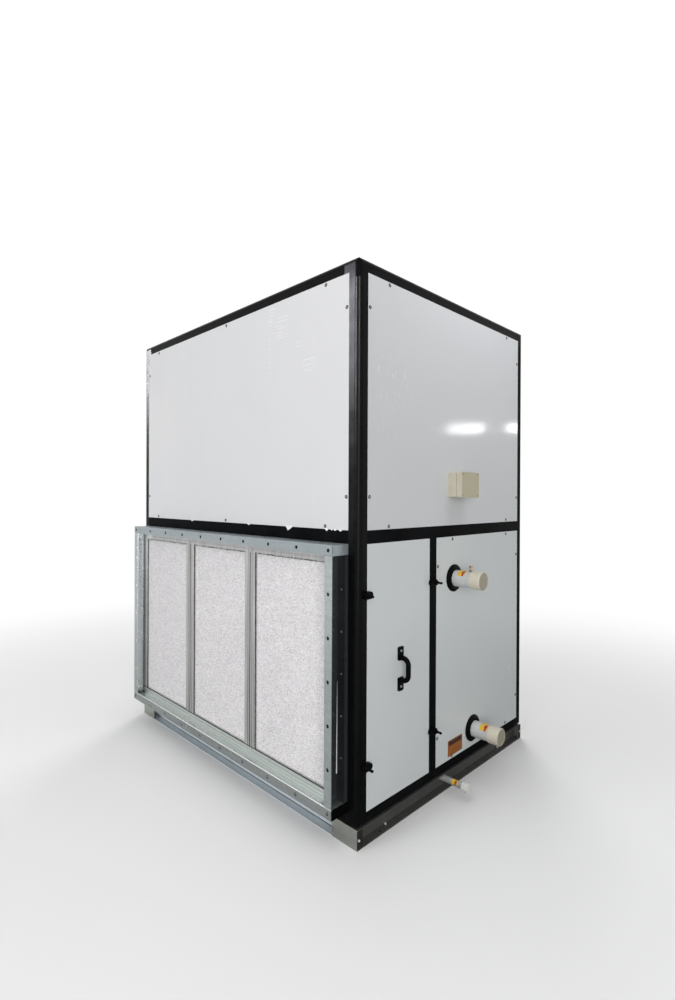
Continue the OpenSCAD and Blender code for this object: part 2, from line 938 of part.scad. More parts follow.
// Air outlet and fan

// Collar on the roof with a drilled flange at its top
module outlet_collar() {
    flange = inlet_flange;
    outer = [outlet_w + 2 * flange, outlet_d + 2 * flange];
    hole = [outlet_w / 2 + flange / 2, outlet_d / 2 + flange / 2];
    color(galvanised)
        translate([0, 0, top_z])
            difference() {
                union() {
                    for (z = [0, outlet_h - inlet_sheet])
                        translate([-outer[0] / 2, -outer[1] / 2, z])
                            cube([outer[0], outer[1], inlet_sheet]);
                    translate([-outlet_w / 2 - inlet_sheet, -outlet_d / 2 - inlet_sheet, 0])
                        cube([outlet_w + 2 * inlet_sheet, outlet_d + 2 * inlet_sheet, outlet_h]);
                }
                translate([-outlet_w / 2, -outlet_d / 2, -cut])
                    cube([outlet_w, outlet_d, outlet_h + 2 * cut]);
                for (i = [-1:1], j = [-1:1])
                    if (i != 0 || j != 0)
                        translate([i * hole[0], j * hole[1], outlet_h - inlet_sheet - cut])
                            cylinder(d = flange_hole_d, h = inlet_sheet + 2 * cut);
            }
}

// Outline of the scroll, seen along the fan's axis: a growing spiral from the tongue round to
// the straight back wall, then up to the outlet
function scroll_points(shift, steps = 36) = concat(
    [[shift, fan_drop], [shift, scroll_r0]],
    [for (i = [1:steps])
        let (turn = 270 * i / steps, r = scroll_r0 + scroll_growth * i / steps - shift)
        [-r * sin(turn), r * cos(turn)]],
    [[scroll_r1 - shift, fan_drop]]
);

// Places an outline drawn in the fan's plane, with its thickness along X
module at_fan(x) {
    translate([x, fan_y, fan_z]) along_x() children();
}

// Spiral wall between two side plates with inlet rings, hung from the roof by the flange of its throat
module fan_scroll() {
    half = outlet_w / 2;
    throat_z = fan_z + fan_drop;
    ring_w = (outlet_w - wheel_w) / 2 - wheel_gap;
    color(galvanised) {
        difference() {
            at_fan(-half) linear_extrude(outlet_w) polygon(scroll_points(0));
            at_fan(-half + fan_sheet)
                linear_extrude(outlet_w - 2 * fan_sheet) polygon(scroll_points(fan_sheet));
            translate([-half + fan_sheet, -outlet_d / 2 + fan_sheet, throat_z - 2 * fan_sheet])
                cube([outlet_w - 2 * fan_sheet, outlet_d - 2 * fan_sheet, 3 * fan_sheet]);
            at_fan(-half - cut) cylinder(r = eye_r, h = outlet_w + 2 * cut);
        }
        for (x = [-half, half - ring_w])
            difference() {
                at_fan(x) cylinder(r = eye_r + fan_sheet, h = ring_w);
                at_fan(x - cut) cylinder(r = eye_r, h = ring_w + 2 * cut);
            }
        difference() {
            translate([-half - throat_flange, -outlet_d / 2 - throat_flange, throat_z - fan_sheet])
                cube([outlet_w + 2 * throat_flange, outlet_d + 2 * throat_flange, fan_sheet]);
            translate([-half + fan_sheet, -outlet_d / 2 + fan_sheet, throat_z - fan_sheet - cut])
                cube([outlet_w - 2 * fan_sheet, outlet_d - 2 * fan_sheet, fan_sheet + 2 * cut]);
        }
    }
}

// Drum wheel with curved blades between two end rings and a middle disc
module fan_wheel() {
    rim = wheel_d / 2;
    color(galvanised)
        at_fan(-wheel_w / 2) {
            for (z = [0, wheel_w - fan_sheet])
                translate([0, 0, z])
                    difference() {
                        cylinder(r = rim, h = fan_sheet);
                        translate([0, 0, -cut]) cylinder(r = eye_r, h = fan_sheet + 2 * cut);
                    }
            translate([0, 0, (wheel_w - fan_sheet) / 2]) cylinder(r = rim, h = fan_sheet);
            for (i = [0:blade_count - 1])
                rotate(i * 360 / blade_count)
                    translate([(rim + eye_r) / 2 - fan_sheet, -blade_r / 2, 0])
                        rotate(45)
                            rotate_extrude(angle = 70)
                                translate([blade_r - fan_sheet, 0]) square([fan_sheet, wheel_w]);
        }
}

// Motor in the eye of the wheel, on a three-armed spider from a side plate
module fan_motor() {
    arm_x = outlet_w / 2;
    arm_w = 40;
    arm_lap = 25;
    spider_t = 2 * fan_sheet;
    length = arm_x + spider_t / 2 - fan_sheet / 2;
    color(motor_grey) {
        at_fan(fan_sheet / 2) cylinder(d = motor_d, h = length);
        at_fan(arm_x)
            linear_extrude(spider_t) {
                circle(motor_d / 2 + arm_lap);
                for (i = [0:2])
                    rotate(90 + i * 120)
                        translate([0, -arm_w / 2]) square([eye_r + arm_lap, arm_w]);
            }
    }
}

base_side_rails();
base_cross_rails();
base_corner_plates();
front_posts();
rear_posts();
corner_connectors();
top_rails();
middle_rails();
bottom_rails();
side_mullion();
front_upper_panel();
right_upper_panel();
left_upper_panel();
rear_upper_panel();
roof_panel();
floor_panel();
access_panel();
coil_panel();
left_lower_panel();
rear_lower_panel();
inlet_top_channel();
inlet_bottom_channel();
inlet_side_channels();
inlet_side_strips();
left_filter_frame();
middle_filter_frame();
right_filter_frame();
filter_pads();
access_handle();
post_clamp_upper();
post_clamp_lower();
mullion_clamp_upper();
mullion_clamp_lower();
junction_box();
junction_box_lid();
upper_water_pipe();
lower_water_pipe();
pipe_rosettes();
pipe_caps();
air_vent();
drain_pipe();
drain_cap();
outlet_collar();
fan_scroll();
fan_wheel();
fan_motor();
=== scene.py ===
"""Looks of the vertical air handling unit: a finish for every node, and the pieces that the solids
leave out, such as screws, filter mesh, stickers and bits of protective film."""
import json
import math

import bpy
import numpy as np
from mathutils import Matrix, Vector, noise


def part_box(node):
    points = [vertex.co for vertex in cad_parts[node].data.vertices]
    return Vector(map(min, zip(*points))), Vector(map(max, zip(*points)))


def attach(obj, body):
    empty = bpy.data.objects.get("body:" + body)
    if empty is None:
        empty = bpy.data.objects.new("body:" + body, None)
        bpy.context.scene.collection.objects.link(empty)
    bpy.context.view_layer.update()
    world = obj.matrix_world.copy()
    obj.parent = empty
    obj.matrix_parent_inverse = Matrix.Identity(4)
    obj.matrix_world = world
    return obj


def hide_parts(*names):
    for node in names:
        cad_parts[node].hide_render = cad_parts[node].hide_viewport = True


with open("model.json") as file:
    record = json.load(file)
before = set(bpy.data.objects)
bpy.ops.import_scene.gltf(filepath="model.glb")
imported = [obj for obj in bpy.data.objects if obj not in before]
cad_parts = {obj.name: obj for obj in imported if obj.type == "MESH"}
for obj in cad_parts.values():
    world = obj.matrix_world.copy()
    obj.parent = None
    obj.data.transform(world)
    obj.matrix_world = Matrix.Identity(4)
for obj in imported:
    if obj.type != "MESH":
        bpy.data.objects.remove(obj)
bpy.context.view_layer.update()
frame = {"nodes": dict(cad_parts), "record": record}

MM = 0.001
BODY = "cabinet"


# Camera, from the photograph's own perspective

CAMERA_AT = (2.1707, -2.0592, 1.3002)
CAMERA_HEADING = math.radians(44.981)
CAMERA_PITCH = math.radians(-0.173)
CAMERA_ROLL = math.radians(0.223)
CAMERA_LENS = 18.876
CAMERA_SENSOR = 36.0
CAMERA_SHIFT_Y = -0.0015
CAMERA_CLIP = 0.05


def add_camera():
    data = bpy.data.cameras.new("camera")
    data.lens = CAMERA_LENS
    data.sensor_width = CAMERA_SENSOR
    data.shift_y = CAMERA_SHIFT_Y
    data.clip_start = CAMERA_CLIP
    camera = bpy.data.objects.new("camera", data)
    bpy.context.scene.collection.objects.link(camera)
    turn = Matrix.Rotation(CAMERA_HEADING, 4, "Z")
    turn @= Matrix.Rotation(math.pi / 2 + CAMERA_PITCH, 4, "X")
    turn @= Matrix.Rotation(CAMERA_ROLL, 4, "Z")
    camera.matrix_world = Matrix.Translation(CAMERA_AT) @ turn
    bpy.context.scene.camera = camera


# Shader helpers

def new_node(tree, kind, inputs=(), **settings):
    made = tree.nodes.new(kind)
    for name, value in settings.items():
        setattr(made, name, value)
    for name, value in dict(inputs).items():
        made.inputs[name].default_value = value
    return made


def new_finish(name, **sockets):
    """A Principled material, with plain values on its own sockets. Returns material, tree and shader."""
    material = bpy.data.materials.new(name)
    material.use_nodes = True
    tree = material.node_tree
    shader = tree.nodes["Principled BSDF"]
    for key, value in sockets.items():
        shader.inputs[key.replace("_", " ")].default_value = value
    return material, tree, shader


def placed(tree, stretch=(1, 1, 1)):
    """Object coordinates in metres, stretched for grain that runs one way."""
    coordinates = new_node(tree, "ShaderNodeTexCoord")
    mapping = new_node(tree, "ShaderNodeMapping", {"Scale": stretch})
    tree.links.new(coordinates.outputs["Object"], mapping.inputs["Vector"])
    return mapping.outputs["Vector"]


def cloud(tree, scale, detail=3.0, stretch=(1, 1, 1)):
    made = new_node(tree, "ShaderNodeTexNoise", {"Scale": scale, "Detail": detail})
    tree.links.new(placed(tree, stretch), made.inputs["Vector"])
    return made.outputs["Fac"]


def cells(tree, scale, stretch=(1, 1, 1)):
    """One grey value per crystal-like cell."""
    made = new_node(tree, "ShaderNodeTexVoronoi", {"Scale": scale})
    tree.links.new(placed(tree, stretch), made.inputs["Vector"])
    grey = new_node(tree, "ShaderNodeSeparateColor")
    tree.links.new(made.outputs["Color"], grey.inputs["Color"])
    return grey.outputs["Red"]


def shades(tree, value, stops):
    """Colours along a value, as (position, colour) pairs."""
    ramp = new_node(tree, "ShaderNodeValToRGB")
    elements = ramp.color_ramp.elements
    while len(elements) < len(stops):
        elements.new(0.5)
    for element, (position, colour) in zip(elements, stops):
        element.position = position
        element.color = (*colour, 1)
    tree.links.new(value, ramp.inputs["Fac"])
    return ramp.outputs["Color"]


def spread(tree, value, low, high, start=0.3, end=0.7):
    made = new_node(tree, "ShaderNodeMapRange",
                    {"From Min": start, "From Max": end, "To Min": low, "To Max": high})
    tree.links.new(value, made.inputs["Value"])
    return made.outputs["Result"]


def blended(tree, factor, first, second, blend_type="MIX"):
    made = new_node(tree, "ShaderNodeMix", data_type="RGBA", blend_type=blend_type)
    if isinstance(factor, float):
        made.inputs["Factor"].default_value = factor
    else:
        tree.links.new(factor, made.inputs["Factor"])
    for socket, value in ((made.inputs[6], first), (made.inputs[7], second)):
        if isinstance(value, tuple):
            socket.default_value = (*value, 1)
        else:
            tree.links.new(value, socket)
    return made.outputs[2]


def bumped(tree, shader, heights):
    """Stacks (value, distance in metres, strength) bumps and feeds the shader's normal."""
    normal = None
    for value, distance, strength in heights:
        made = new_node(tree, "ShaderNodeBump", {"Strength": strength, "Distance": distance})
        tree.links.new(value, made.inputs["Height"])
        if normal is not None:
            tree.links.new(normal, made.inputs["Normal"])
        normal = made.outputs["Normal"]
    tree.links.new(normal, shader.inputs["Normal"])


def painted(tree, shader, colour):
    tree.links.new(colour, shader.inputs["Base Color"])


def roughened(tree, shader, scale, detail, low, high):
    """Gloss that is uneven in patches."""
    tree.links.new(spread(tree, cloud(tree, scale, detail), low, high), shader.inputs["Roughness"])


def near(tree, place, reach):
    """1 at a place in metres, falling to 0 at the given reach."""
    distance = new_node(tree, "ShaderNodeVectorMath", {1: place}, operation="DISTANCE")
    tree.links.new(placed(tree), distance.inputs[0])
    return spread(tree, distance.outputs["Value"], 1.0, 0.0, 0.3 * reach, reach)


def combined(tree, first, second, operation):
    made = new_node(tree, "ShaderNodeMath", operation=operation)
    tree.links.new(first, made.inputs[0])
    tree.links.new(second, made.inputs[1])
    return made.outputs[0]


def sized(tree, value):
    made = new_node(tree, "ShaderNodeMath", operation="ABSOLUTE")
    tree.links.new(value, made.inputs[0])
    return made.outputs[0]


def sideways(tree):
    """1 on faces that look along X, 0 on the others."""
    coordinates = new_node(tree, "ShaderNodeTexCoord")
    parts = new_node(tree, "ShaderNodeSeparateXYZ")
    tree.links.new(coordinates.outputs["Normal"], parts.inputs["Vector"])
    return spread(tree, sized(tree, parts.outputs["X"]), 0.0, 1.0, 0.5, 0.8)


SHARP = 0.5 * MM


def within(tree, mirrored=True, **ranges):
    """1 where a place is in the given ranges of X, Y and Z in metres. A range may end with the width of
    its soft edge. X counts from the middle to both sides, unless mirrored is off."""
    parts = new_node(tree, "ShaderNodeSeparateXYZ")
    tree.links.new(placed(tree), parts.inputs["Vector"])
    total = None
    for axis, (low, high, *soft) in ranges.items():
        fade = soft[0] if soft else SHARP
        value = parts.outputs[axis]
        if axis == "X" and mirrored:
            value = sized(tree, value)
        rising = spread(tree, value, 0.0, 1.0, low - fade, low)
        falling = spread(tree, value, 1.0, 0.0, high, high + fade)
        mask = combined(tree, rising, falling, "MULTIPLY")
        total = mask if total is None else combined(tree, total, mask, "MULTIPLY")
    return total


# Finishes

FILTERS = ["left_filter_frame", "middle_filter_frame", "right_filter_frame"]
FILTER_STILE = 38 * MM
FILTER_BAR = 30 * MM
RIGHT_X = 870 * MM
SCUFF_AND_GLINT_PLACES = [
    # Y and Z of places on the right side with scuffs in the film and painted glints of its wrinkles, and
    # how far these reach
    (-465 * MM, 1730 * MM, 230 * MM),
    (150 * MM, 1790 * MM, 70 * MM),
    (540 * MM, 1300 * MM, 110 * MM),
    (-560 * MM, 330 * MM, 130 * MM),
    (520 * MM, 420 * MM, 120 * MM),
]


def tinted(colour, tint):
    return tuple(c * t for c, t in zip(colour, tint))


def white_panel(name="white_panel", level=0.25, rough=(0.07, 0.12), tint=(1, 1, 1)):
    """Coated sheet under a thin protective film, a little wavy and handled, with light marks that are
    partly scratch marks and partly painted glints of film wrinkles.
    """
    material, tree, shader = new_finish(name, Specular_IOR_Level=level)
    tone = shades(tree, cloud(tree, 1.1, 3.0), [(0.35, tinted((0.735, 0.745, 0.755), tint)),
                                                (0.65, tinted((0.765, 0.77, 0.775), tint))])
    wipes = spread(tree, cloud(tree, 7.0, 6.0, (1, 1, 0.3)), 0.0, 0.12, 0.58, 0.78)
    marked = blended(tree, wipes, tone, (0.62, 0.63, 0.63))
    specks = spread(tree, cloud(tree, 150.0, 2.0), 0.0, 0.6, 0.76, 0.81)
    specked = blended(tree, specks, marked, (0.48, 0.47, 0.45))
    # light marks, partly scratch marks in the film and partly painted glints of its wrinkles
    lines = spread(tree, cloud(tree, 170.0, 4.0, (1, 1, 0.12)), 0.0, 1.0, 0.62, 0.7)
    scuffs_and_glints = spread(tree, cloud(tree, 3.4, 3.0), 0.0, 0.5, 0.6, 0.72)
    for y, z, reach in SCUFF_AND_GLINT_PLACES:
        scuffs_and_glints = combined(tree, scuffs_and_glints, near(tree, (RIGHT_X, y, z), reach), "MAXIMUM")
    scratch_and_glint_mask = combined(tree, lines, scuffs_and_glints, "MULTIPLY")
    scratched_and_glinting = blended(tree, scratch_and_glint_mask, specked, tinted((0.97, 0.97, 0.97), tint))
    painted(tree, shader, scratched_and_glinting)
    roughened(tree, shader, 3.0, 5.0, *rough)
    bumped(tree, shader, [(cloud(tree, 2.2, 2.0), 0.004, 0.06),
                          (cloud(tree, 17.0, 4.0, (1, 1, 0.35)), 0.0008, 0.06),
                          (cloud(tree, 700.0, 2.0), 0.0001, 0.05)])
    return material


# near-black painted as shade: in corners, recesses and rims, behind holes, on shaded sides and on the
# floor under the unit
PAINTED_SHADE = (0.045, 0.042, 0.04)
# tone for the black strips' faces that look along X, painted to the level they show in shade
SIDE_PAINTED_TONE = (0.03, 0.031, 0.033)


def black_profile(name="black_profile", level=0.01, lift=1.3, painted_side_tone=False):
    """Black coated aluminium profile, dusty and faintly streaked, and where asked with a tone of its own
    on faces that look along X, painted to the level they show in shade.
    """
    material, tree, shader = new_finish(name, Specular_IOR_Level=level)
    tone = shades(tree, cloud(tree, 6.0, 4.0), [(0.3, (0.0028 * lift, 0.0030 * lift, 0.0034 * lift)),
                                                (0.7, (0.0055 * lift, 0.0058 * lift, 0.0064 * lift))])
    dust = spread(tree, cloud(tree, 60.0, 6.0), 0.0, 0.2, 0.58, 0.8)
    dusty = (0.018 * lift, 0.0185 * lift, 0.0195 * lift)
    colour = blended(tree, dust, tone, dusty)
    if painted_side_tone:
        colour = blended(tree, sideways(tree), colour, SIDE_PAINTED_TONE)
    painted(tree, shader, colour)
    roughened(tree, shader, 22.0, 5.0, 0.26, 0.40)
    bumped(tree, shader, [(cloud(tree, 420.0, 3.0), 0.0001, 0.08)])
    return material


def galvanised_steel(name="galvanised_steel", tint=(1, 1, 1), metallic=0.88, rough=(0.2, 0.3),
                     streaking=(34.0, 0.4), shaded_sides=False, zones=()):
    """Zinc-coated sheet with faint spangle, rolling streaks and dull patches, and where asked painted
    shade on faces that look along X.
    zones holds (colour, share, ranges) for places with painted shade, painted highlights and cleaner
    sheet."""
    material, tree, shader = new_finish(name, Metallic=metallic)
    spangle = shades(tree, cells(tree, 110.0), [(0.0, tinted((0.385, 0.42, 0.425), tint)),
                                                (1.0, tinted((0.425, 0.465, 0.47), tint))])
    scale, strength = streaking
    streaks = spread(tree, cloud(tree, scale, 5.0, (0.06, 1, 1.6)), 0.0, strength, 0.42, 0.72)
    streaked = blended(tree, streaks, spangle, tinted((0.53, 0.57, 0.58), tint))
    patches = spread(tree, cloud(tree, 5.5, 5.0), 0.0, 0.3, 0.5, 0.75)
    colour = blended(tree, patches, streaked, tinted((0.33, 0.355, 0.35), tint))
    # painted shade on the faces that look along X
    if shaded_sides:
        colour = blended(tree, sideways(tree), colour, PAINTED_SHADE)
    for zone_colour, share, ranges in zones:
        mask = spread(tree, within(tree, **ranges), 0.0, share, 0.0, 1.0)
        colour = blended(tree, mask, colour, zone_colour)
    painted(tree, shader, colour)
    roughened(tree, shader, 16.0, 5.0, *rough)
    bumped(tree, shader, [(cloud(tree, 5.0, 2.0), 0.0008, 0.05),
                          (cloud(tree, 260.0, 3.0), 0.0001, 0.05)])
    return material


def filter_opening(node):
    """Left, right, lower and upper edge of the opening in a filter's frame."""
    low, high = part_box(node)
    return low.x + FILTER_STILE, high.x - FILTER_STILE, low.z + FILTER_BAR, high.z - FILTER_BAR


EDGE_SHADE = (0.11, 0.11, 0.11)
BAR_SHINE = (0.49, 0.51, 0.495)
RIM_IN = 4 * MM
RIM_OUT = 2 * MM


def shaded_rim(tree, colour):
    """Painted shade along the left and upper edges of the filters' openings, where the frames shade the
    mesh and mat, broken up by the mesh.
    """
    rim = None
    for node in FILTERS:
        left, right, bottom, top = filter_opening(node)
        for part in (within(tree, False, X=(left - RIM_OUT, left + RIM_IN), Z=(bottom, top)),
                     within(tree, False, X=(left, right), Z=(top - RIM_IN, top + RIM_OUT))):
            rim = part if rim is None else combined(tree, rim, part, "MAXIMUM")
    dots = spread(tree, cloud(tree, 270.0, 1.0, (0.25, 0.05, 1)), 0.1, 0.9, 0.4, 0.6)
    return blended(tree, combined(tree, rim, dots, "MULTIPLY"), colour, PAINTED_SHADE)


def filter_aluminium():
    """Folded sheet of the filter frames, with upright drawing lines, painted shade on the sideways faces
    and inner edges, an even lighter tone on the lower bars and a painted shade line along their tops.
    """
    material, tree, shader = new_finish("filter_aluminium", Metallic=0.8)
    tone = shades(tree, cloud(tree, 110.0, 3.0, (1, 1, 0.03)),
                  [(0.34, (0.365, 0.37, 0.365)), (0.66, (0.52, 0.525, 0.515))])
    smudge = spread(tree, cloud(tree, 11.0, 5.0), 0.0, 0.3, 0.5, 0.75)
    colour = blended(tree, smudge, tone, (0.36, 0.365, 0.36))
    colour = shaded_rim(tree, blended(tree, sideways(tree), colour, EDGE_SHADE))
    low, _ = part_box(FILTERS[0])
    bar_top = low.z + FILTER_BAR
    colour = blended(tree, within(tree, Z=(low.z, bar_top - RIM_OUT)), colour, BAR_SHINE)
    # painted shade line where the mat meets the lower bar
    colour = blended(tree, within(tree, Z=(bar_top - RIM_OUT, bar_top + RIM_OUT)), colour, PAINTED_SHADE)
    painted(tree, shader, colour)
    roughened(tree, shader, 30.0, 4.0, 0.34, 0.5)
    bumped(tree, shader, [(cloud(tree, 300.0, 3.0, (1, 1, 0.05)), 0.0002, 0.12)])
    return material


SPECKLE = 560.0
SPECKLE_STRETCH = (0.65, 0.1, 1)


def filter_fibre():
    """White synthetic fibre mat, with painted shade along the frames' upper and left edges."""
    material, tree, shader = new_finish("filter_fibre", Roughness=0.95, Specular_IOR_Level=0.1,
                                        Sheen_Weight=0.25)
    tone = shades(tree, cloud(tree, SPECKLE, 0.0, SPECKLE_STRETCH),
                  [(0.36, (0.68, 0.665, 0.68)), (0.56, (1.0, 0.985, 0.995))])
    stain = spread(tree, cloud(tree, 5.0, 4.0), 0.0, 0.12, 0.5, 0.75)
    stained = blended(tree, stain, tone, (0.78, 0.765, 0.765))
    painted(tree, shader, shaded_rim(tree, stained))
    bumped(tree, shader, [(cloud(tree, 240.0, 5.0), 0.0012, 0.4)])
    return material


def mesh_wire():
    """Bright expanded metal over the filter pads, with painted shade along the frames' upper and left
    edges.
    """
    material, tree, shader = new_finish("mesh_wire", Metallic=0.15)
    tone = shades(tree, cloud(tree, SPECKLE, 0.0, SPECKLE_STRETCH),
                  [(0.36, (0.58, 0.57, 0.58)), (0.56, (1.0, 0.99, 1.0))])
    painted(tree, shader, shaded_rim(tree, tone))
    roughened(tree, shader, 90.0, 3.0, 0.35, 0.55)
    return material


def moulded(name, dark, light, rough=(0.32, 0.5), grain=500.0, level=0.45, end_shade=None):
    """Moulded plastic: two close tones, a fine grain and uneven gloss.
    A tone given for the ends darkens the faces that look along X, as painted shade."""
    material, tree, shader = new_finish(name, Specular_IOR_Level=level)
    tone = shades(tree, cloud(tree, 18.0, 5.0), [(0.3, dark), (0.7, light)])
    if end_shade:
        tone = blended(tree, sideways(tree), tone, tinted(light, end_shade))
    painted(tree, shader, tone)
    roughened(tree, shader, 35.0, 4.0, *rough)
    bumped(tree, shader, [(cloud(tree, grain, 3.0), 0.0002, 0.15)])
    return material


def bare_metal(name, dark, light, rough=(0.25, 0.45), grain=220.0, metallic=0.9):
    """Turned or drawn metal with small stains."""
    material, tree, shader = new_finish(name, Metallic=metallic)
    tone = shades(tree, cloud(tree, 45.0, 5.0), [(0.3, dark), (0.7, light)])
    painted(tree, shader, tone)
    roughened(tree, shader, 80.0, 4.0, *rough)
    bumped(tree, shader, [(cloud(tree, grain, 3.0), 0.0002, 0.12)])
    return material


def vinyl(name, dark, light):
    """Printed film: even colour, slightly faded in places."""
    material, tree, shader = new_finish(name, Specular_IOR_Level=0.4)
    tone = shades(tree, cloud(tree, 60.0, 4.0), [(0.35, dark), (0.65, light)])
    painted(tree, shader, tone)
    roughened(tree, shader, 90.0, 3.0, 0.3, 0.45)
    bumped(tree, shader, [(cloud(tree, 130.0, 3.0), 0.0002, 0.1)])
    return material


FINISHES = {
    "white_panel": white_panel(),
    "black_profile": black_profile(),
    "galvanised_steel": galvanised_steel(),
    "filter_aluminium": filter_aluminium(),
    "filter_pad": filter_fibre(),
    "black_plastic": moulded("black_plastic", (0.0015, 0.0015, 0.0018), (0.0032, 0.0032, 0.0035),
                             level=0.04),
    "cream_plastic": moulded("cream_plastic", (0.59, 0.545, 0.43), (0.66, 0.615, 0.50), level=0.3,
                             end_shade=(0.76, 0.75, 0.66)),
    "white_plastic": moulded("white_plastic", (0.74, 0.73, 0.69), (0.80, 0.79, 0.76)),
    "painted_pipe": moulded("painted_pipe", (0.57, 0.58, 0.585), (0.64, 0.65, 0.655), (0.35, 0.55), 300.0,
                            0.3),
    "brass_fitting": bare_metal("brass_fitting", (0.19, 0.12, 0.06), (0.50, 0.37, 0.2), (0.2, 0.4), 90.0),
    "drain_steel": bare_metal("drain_steel", (0.50, 0.50, 0.49), (0.64, 0.64, 0.62), metallic=0.45),
    "motor_grey": moulded("motor_grey", (0.05, 0.055, 0.06), (0.08, 0.085, 0.09), (0.4, 0.6), 260.0),
}
BLACK_POST = black_profile("black_post", 0.05, 0.9)
BASE_TOP = 75 * MM
BASE_FRONT = (-660 * MM, -600 * MM)
INLET_FRONT = -735 * MM
INLET_LOW = 165 * MM
INLET_HIGH = 1085 * MM
CHEEK_X = 782 * MM
SHEET = 2 * MM
FACE = 0.4 * MM
INNER_CHEEK = (CHEEK_X - SHEET - FACE, CHEEK_X - SHEET + FACE)
OUTER_CHEEK = (CHEEK_X - FACE, CHEEK_X)
LEDGE_TOP = (INLET_LOW - 0.5 * MM, INLET_LOW)
FOLD = (INLET_FRONT, INLET_FRONT + 2.5 * MM)
FILTER_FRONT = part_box(FILTERS[0])[0].y
# light zinc tone painted on folds as a highlight
FOLD_HIGHLIGHT = (0.63, 0.66, 0.66)
BASE_ZONES = [
    # painted shade in the lower corner of the channel, along its top, and on its web under the collar
    # where it shows through the flange's holes
    (PAINTED_SHADE, 1.0, {"Z": (3.4 * MM, 6.5 * MM)}),
    (PAINTED_SHADE, 1.0, {"Z": (BASE_TOP - 1 * MM, BASE_TOP)}),
    (PAINTED_SHADE, 0.9, {"Y": BASE_FRONT, "Z": (27 * MM, 60 * MM)}),
]
PLATE_ZONES = [
    # bright upper edge
    ((0.78, 0.74, 0.63), 1.0, {"Z": (BASE_TOP - 1.6 * MM, BASE_TOP)}),
]
SIDE_ZONES = [
    # clean inner faces, with painted shade beside the filters and in the lower corners
    ((0.60, 0.645, 0.65), 0.9, {"X": INNER_CHEEK, "Y": (FOLD[1], 0.0)}),
    (PAINTED_SHADE, 0.8, {"X": INNER_CHEEK, "Y": (FILTER_FRONT - 5 * MM, 0.0, 7 * MM)}),
    (PAINTED_SHADE, 0.85, {"X": INNER_CHEEK, "Z": (INLET_LOW, INLET_LOW + 6 * MM, 36 * MM)}),
    # outer faces darkened as painted shade and dark reflection, deeper painted shade close behind the
    # flange, and a painted highlight on the fold
    ((0.17, 0.185, 0.19), 1.0, {"X": OUTER_CHEEK, "Y": (INLET_FRONT + 36 * MM, 0.0)}),
    (PAINTED_SHADE, 1.0, {"X": OUTER_CHEEK, "Y": (INLET_FRONT + 3 * MM, INLET_FRONT + 34 * MM)}),
    (FOLD_HIGHLIGHT, 1.0, {"X": (CHEEK_X - SHEET, CHEEK_X - 0.6 * MM), "Y": FOLD}),
]
TOP_ZONES = [
    # painted highlight on the fold along the lower edge
    (FOLD_HIGHLIGHT, 1.0, {"Y": FOLD, "Z": (INLET_HIGH, INLET_HIGH + SHEET)}),
]
LEDGE_ZONES = [
    # upper face lightened as a painted sheen, and a painted highlight on the fold along the front edge
    ((0.63, 0.68, 0.66), 0.9, {"Z": LEDGE_TOP}),
    (FOLD_HIGHLIGHT, 1.0, {"Y": FOLD, "Z": (INLET_LOW - SHEET, INLET_LOW)}),
    # painted shade in the corners under the cheeks
    (PAINTED_SHADE, 0.65, {"X": (CHEEK_X - 10 * MM, CHEEK_X, 30 * MM), "Y": (INLET_FRONT + 6 * MM, 0.0),
                   "Z": LEDGE_TOP}),
    # painted shade inside, behind the holes of the flange
    (PAINTED_SHADE, 0.95, {"Y": (INLET_FRONT + 3 * MM, 0.0), "Z": (0.0, INLET_LOW - 2.5 * MM)}),
]
NODE_FINISHES = {
    "front_upper_panel": white_panel("film_panel", 0.006, (0.34, 0.46), (0.985, 0.98, 0.985)),
    "right_upper_panel": white_panel("side_film", tint=(0.985, 0.99, 1.0)),
    "access_panel": white_panel("access_film", tint=(0.96, 1.0, 1.0)),
    "coil_panel": white_panel("coil_film", tint=(0.955, 1.0, 0.99)),
    # the side rails are dusty and darkened much further as painted shade
    "base_side_rails": galvanised_steel("dusty_shaded_rail", (0.27, 0.245, 0.23), 0.6, (0.4, 0.6)),
    # the cross rails are lightened well above the other zinc sheet, as painted light for their lit look
    # under the collar
    "base_cross_rails": galvanised_steel("base_rail", (1.75, 1.75, 1.82), 0.45, (0.42, 0.58),
                                         zones=BASE_ZONES),
    "inlet_top_channel": galvanised_steel("top_channel", (0.78, 0.81, 0.845), 0.5, (0.32, 0.42),
                                          zones=TOP_ZONES),
    "inlet_side_channels": galvanised_steel("side_channel", zones=SIDE_ZONES),
    "inlet_bottom_channel": galvanised_steel("bottom_channel", (0.82, 0.81, 0.79), streaking=(150.0, 0.6),
                                             zones=LEDGE_ZONES),
    "base_corner_plates": galvanised_steel("warm_plate", (1.06, 1.01, 0.92), 0.8, (0.3, 0.45),
                                           shaded_sides=True, zones=PLATE_ZONES),
    "pipe_caps": moulded("cap_plastic", (0.68, 0.63, 0.51), (0.75, 0.70, 0.58), level=0.3,
                         end_shade=(0.47, 0.465, 0.42)),
    "front_posts": BLACK_POST,
    "top_rails": BLACK_POST,
    "corner_connectors": black_profile("black_corner", 0.037, 0.9),
    "inlet_side_strips": black_profile("black_strip", 0.18, 3.3, painted_side_tone=True),
}
MESH_WIRE = mesh_wire()
SHADED_BLACK = black_profile("shaded_black", 0.0, 0.7)
SCREW_ZINC = bare_metal("screw_zinc", (0.26, 0.27, 0.28), (0.42, 0.43, 0.44), (0.28, 0.4))
SCREW_DARK = bare_metal("screw_dark", (0.05, 0.05, 0.052), (0.11, 0.11, 0.113), (0.22, 0.36))
BOLT_ZINC = bare_metal("bolt_zinc", (0.70, 0.71, 0.72), (0.85, 0.86, 0.87), (0.2, 0.35), metallic=0.4)
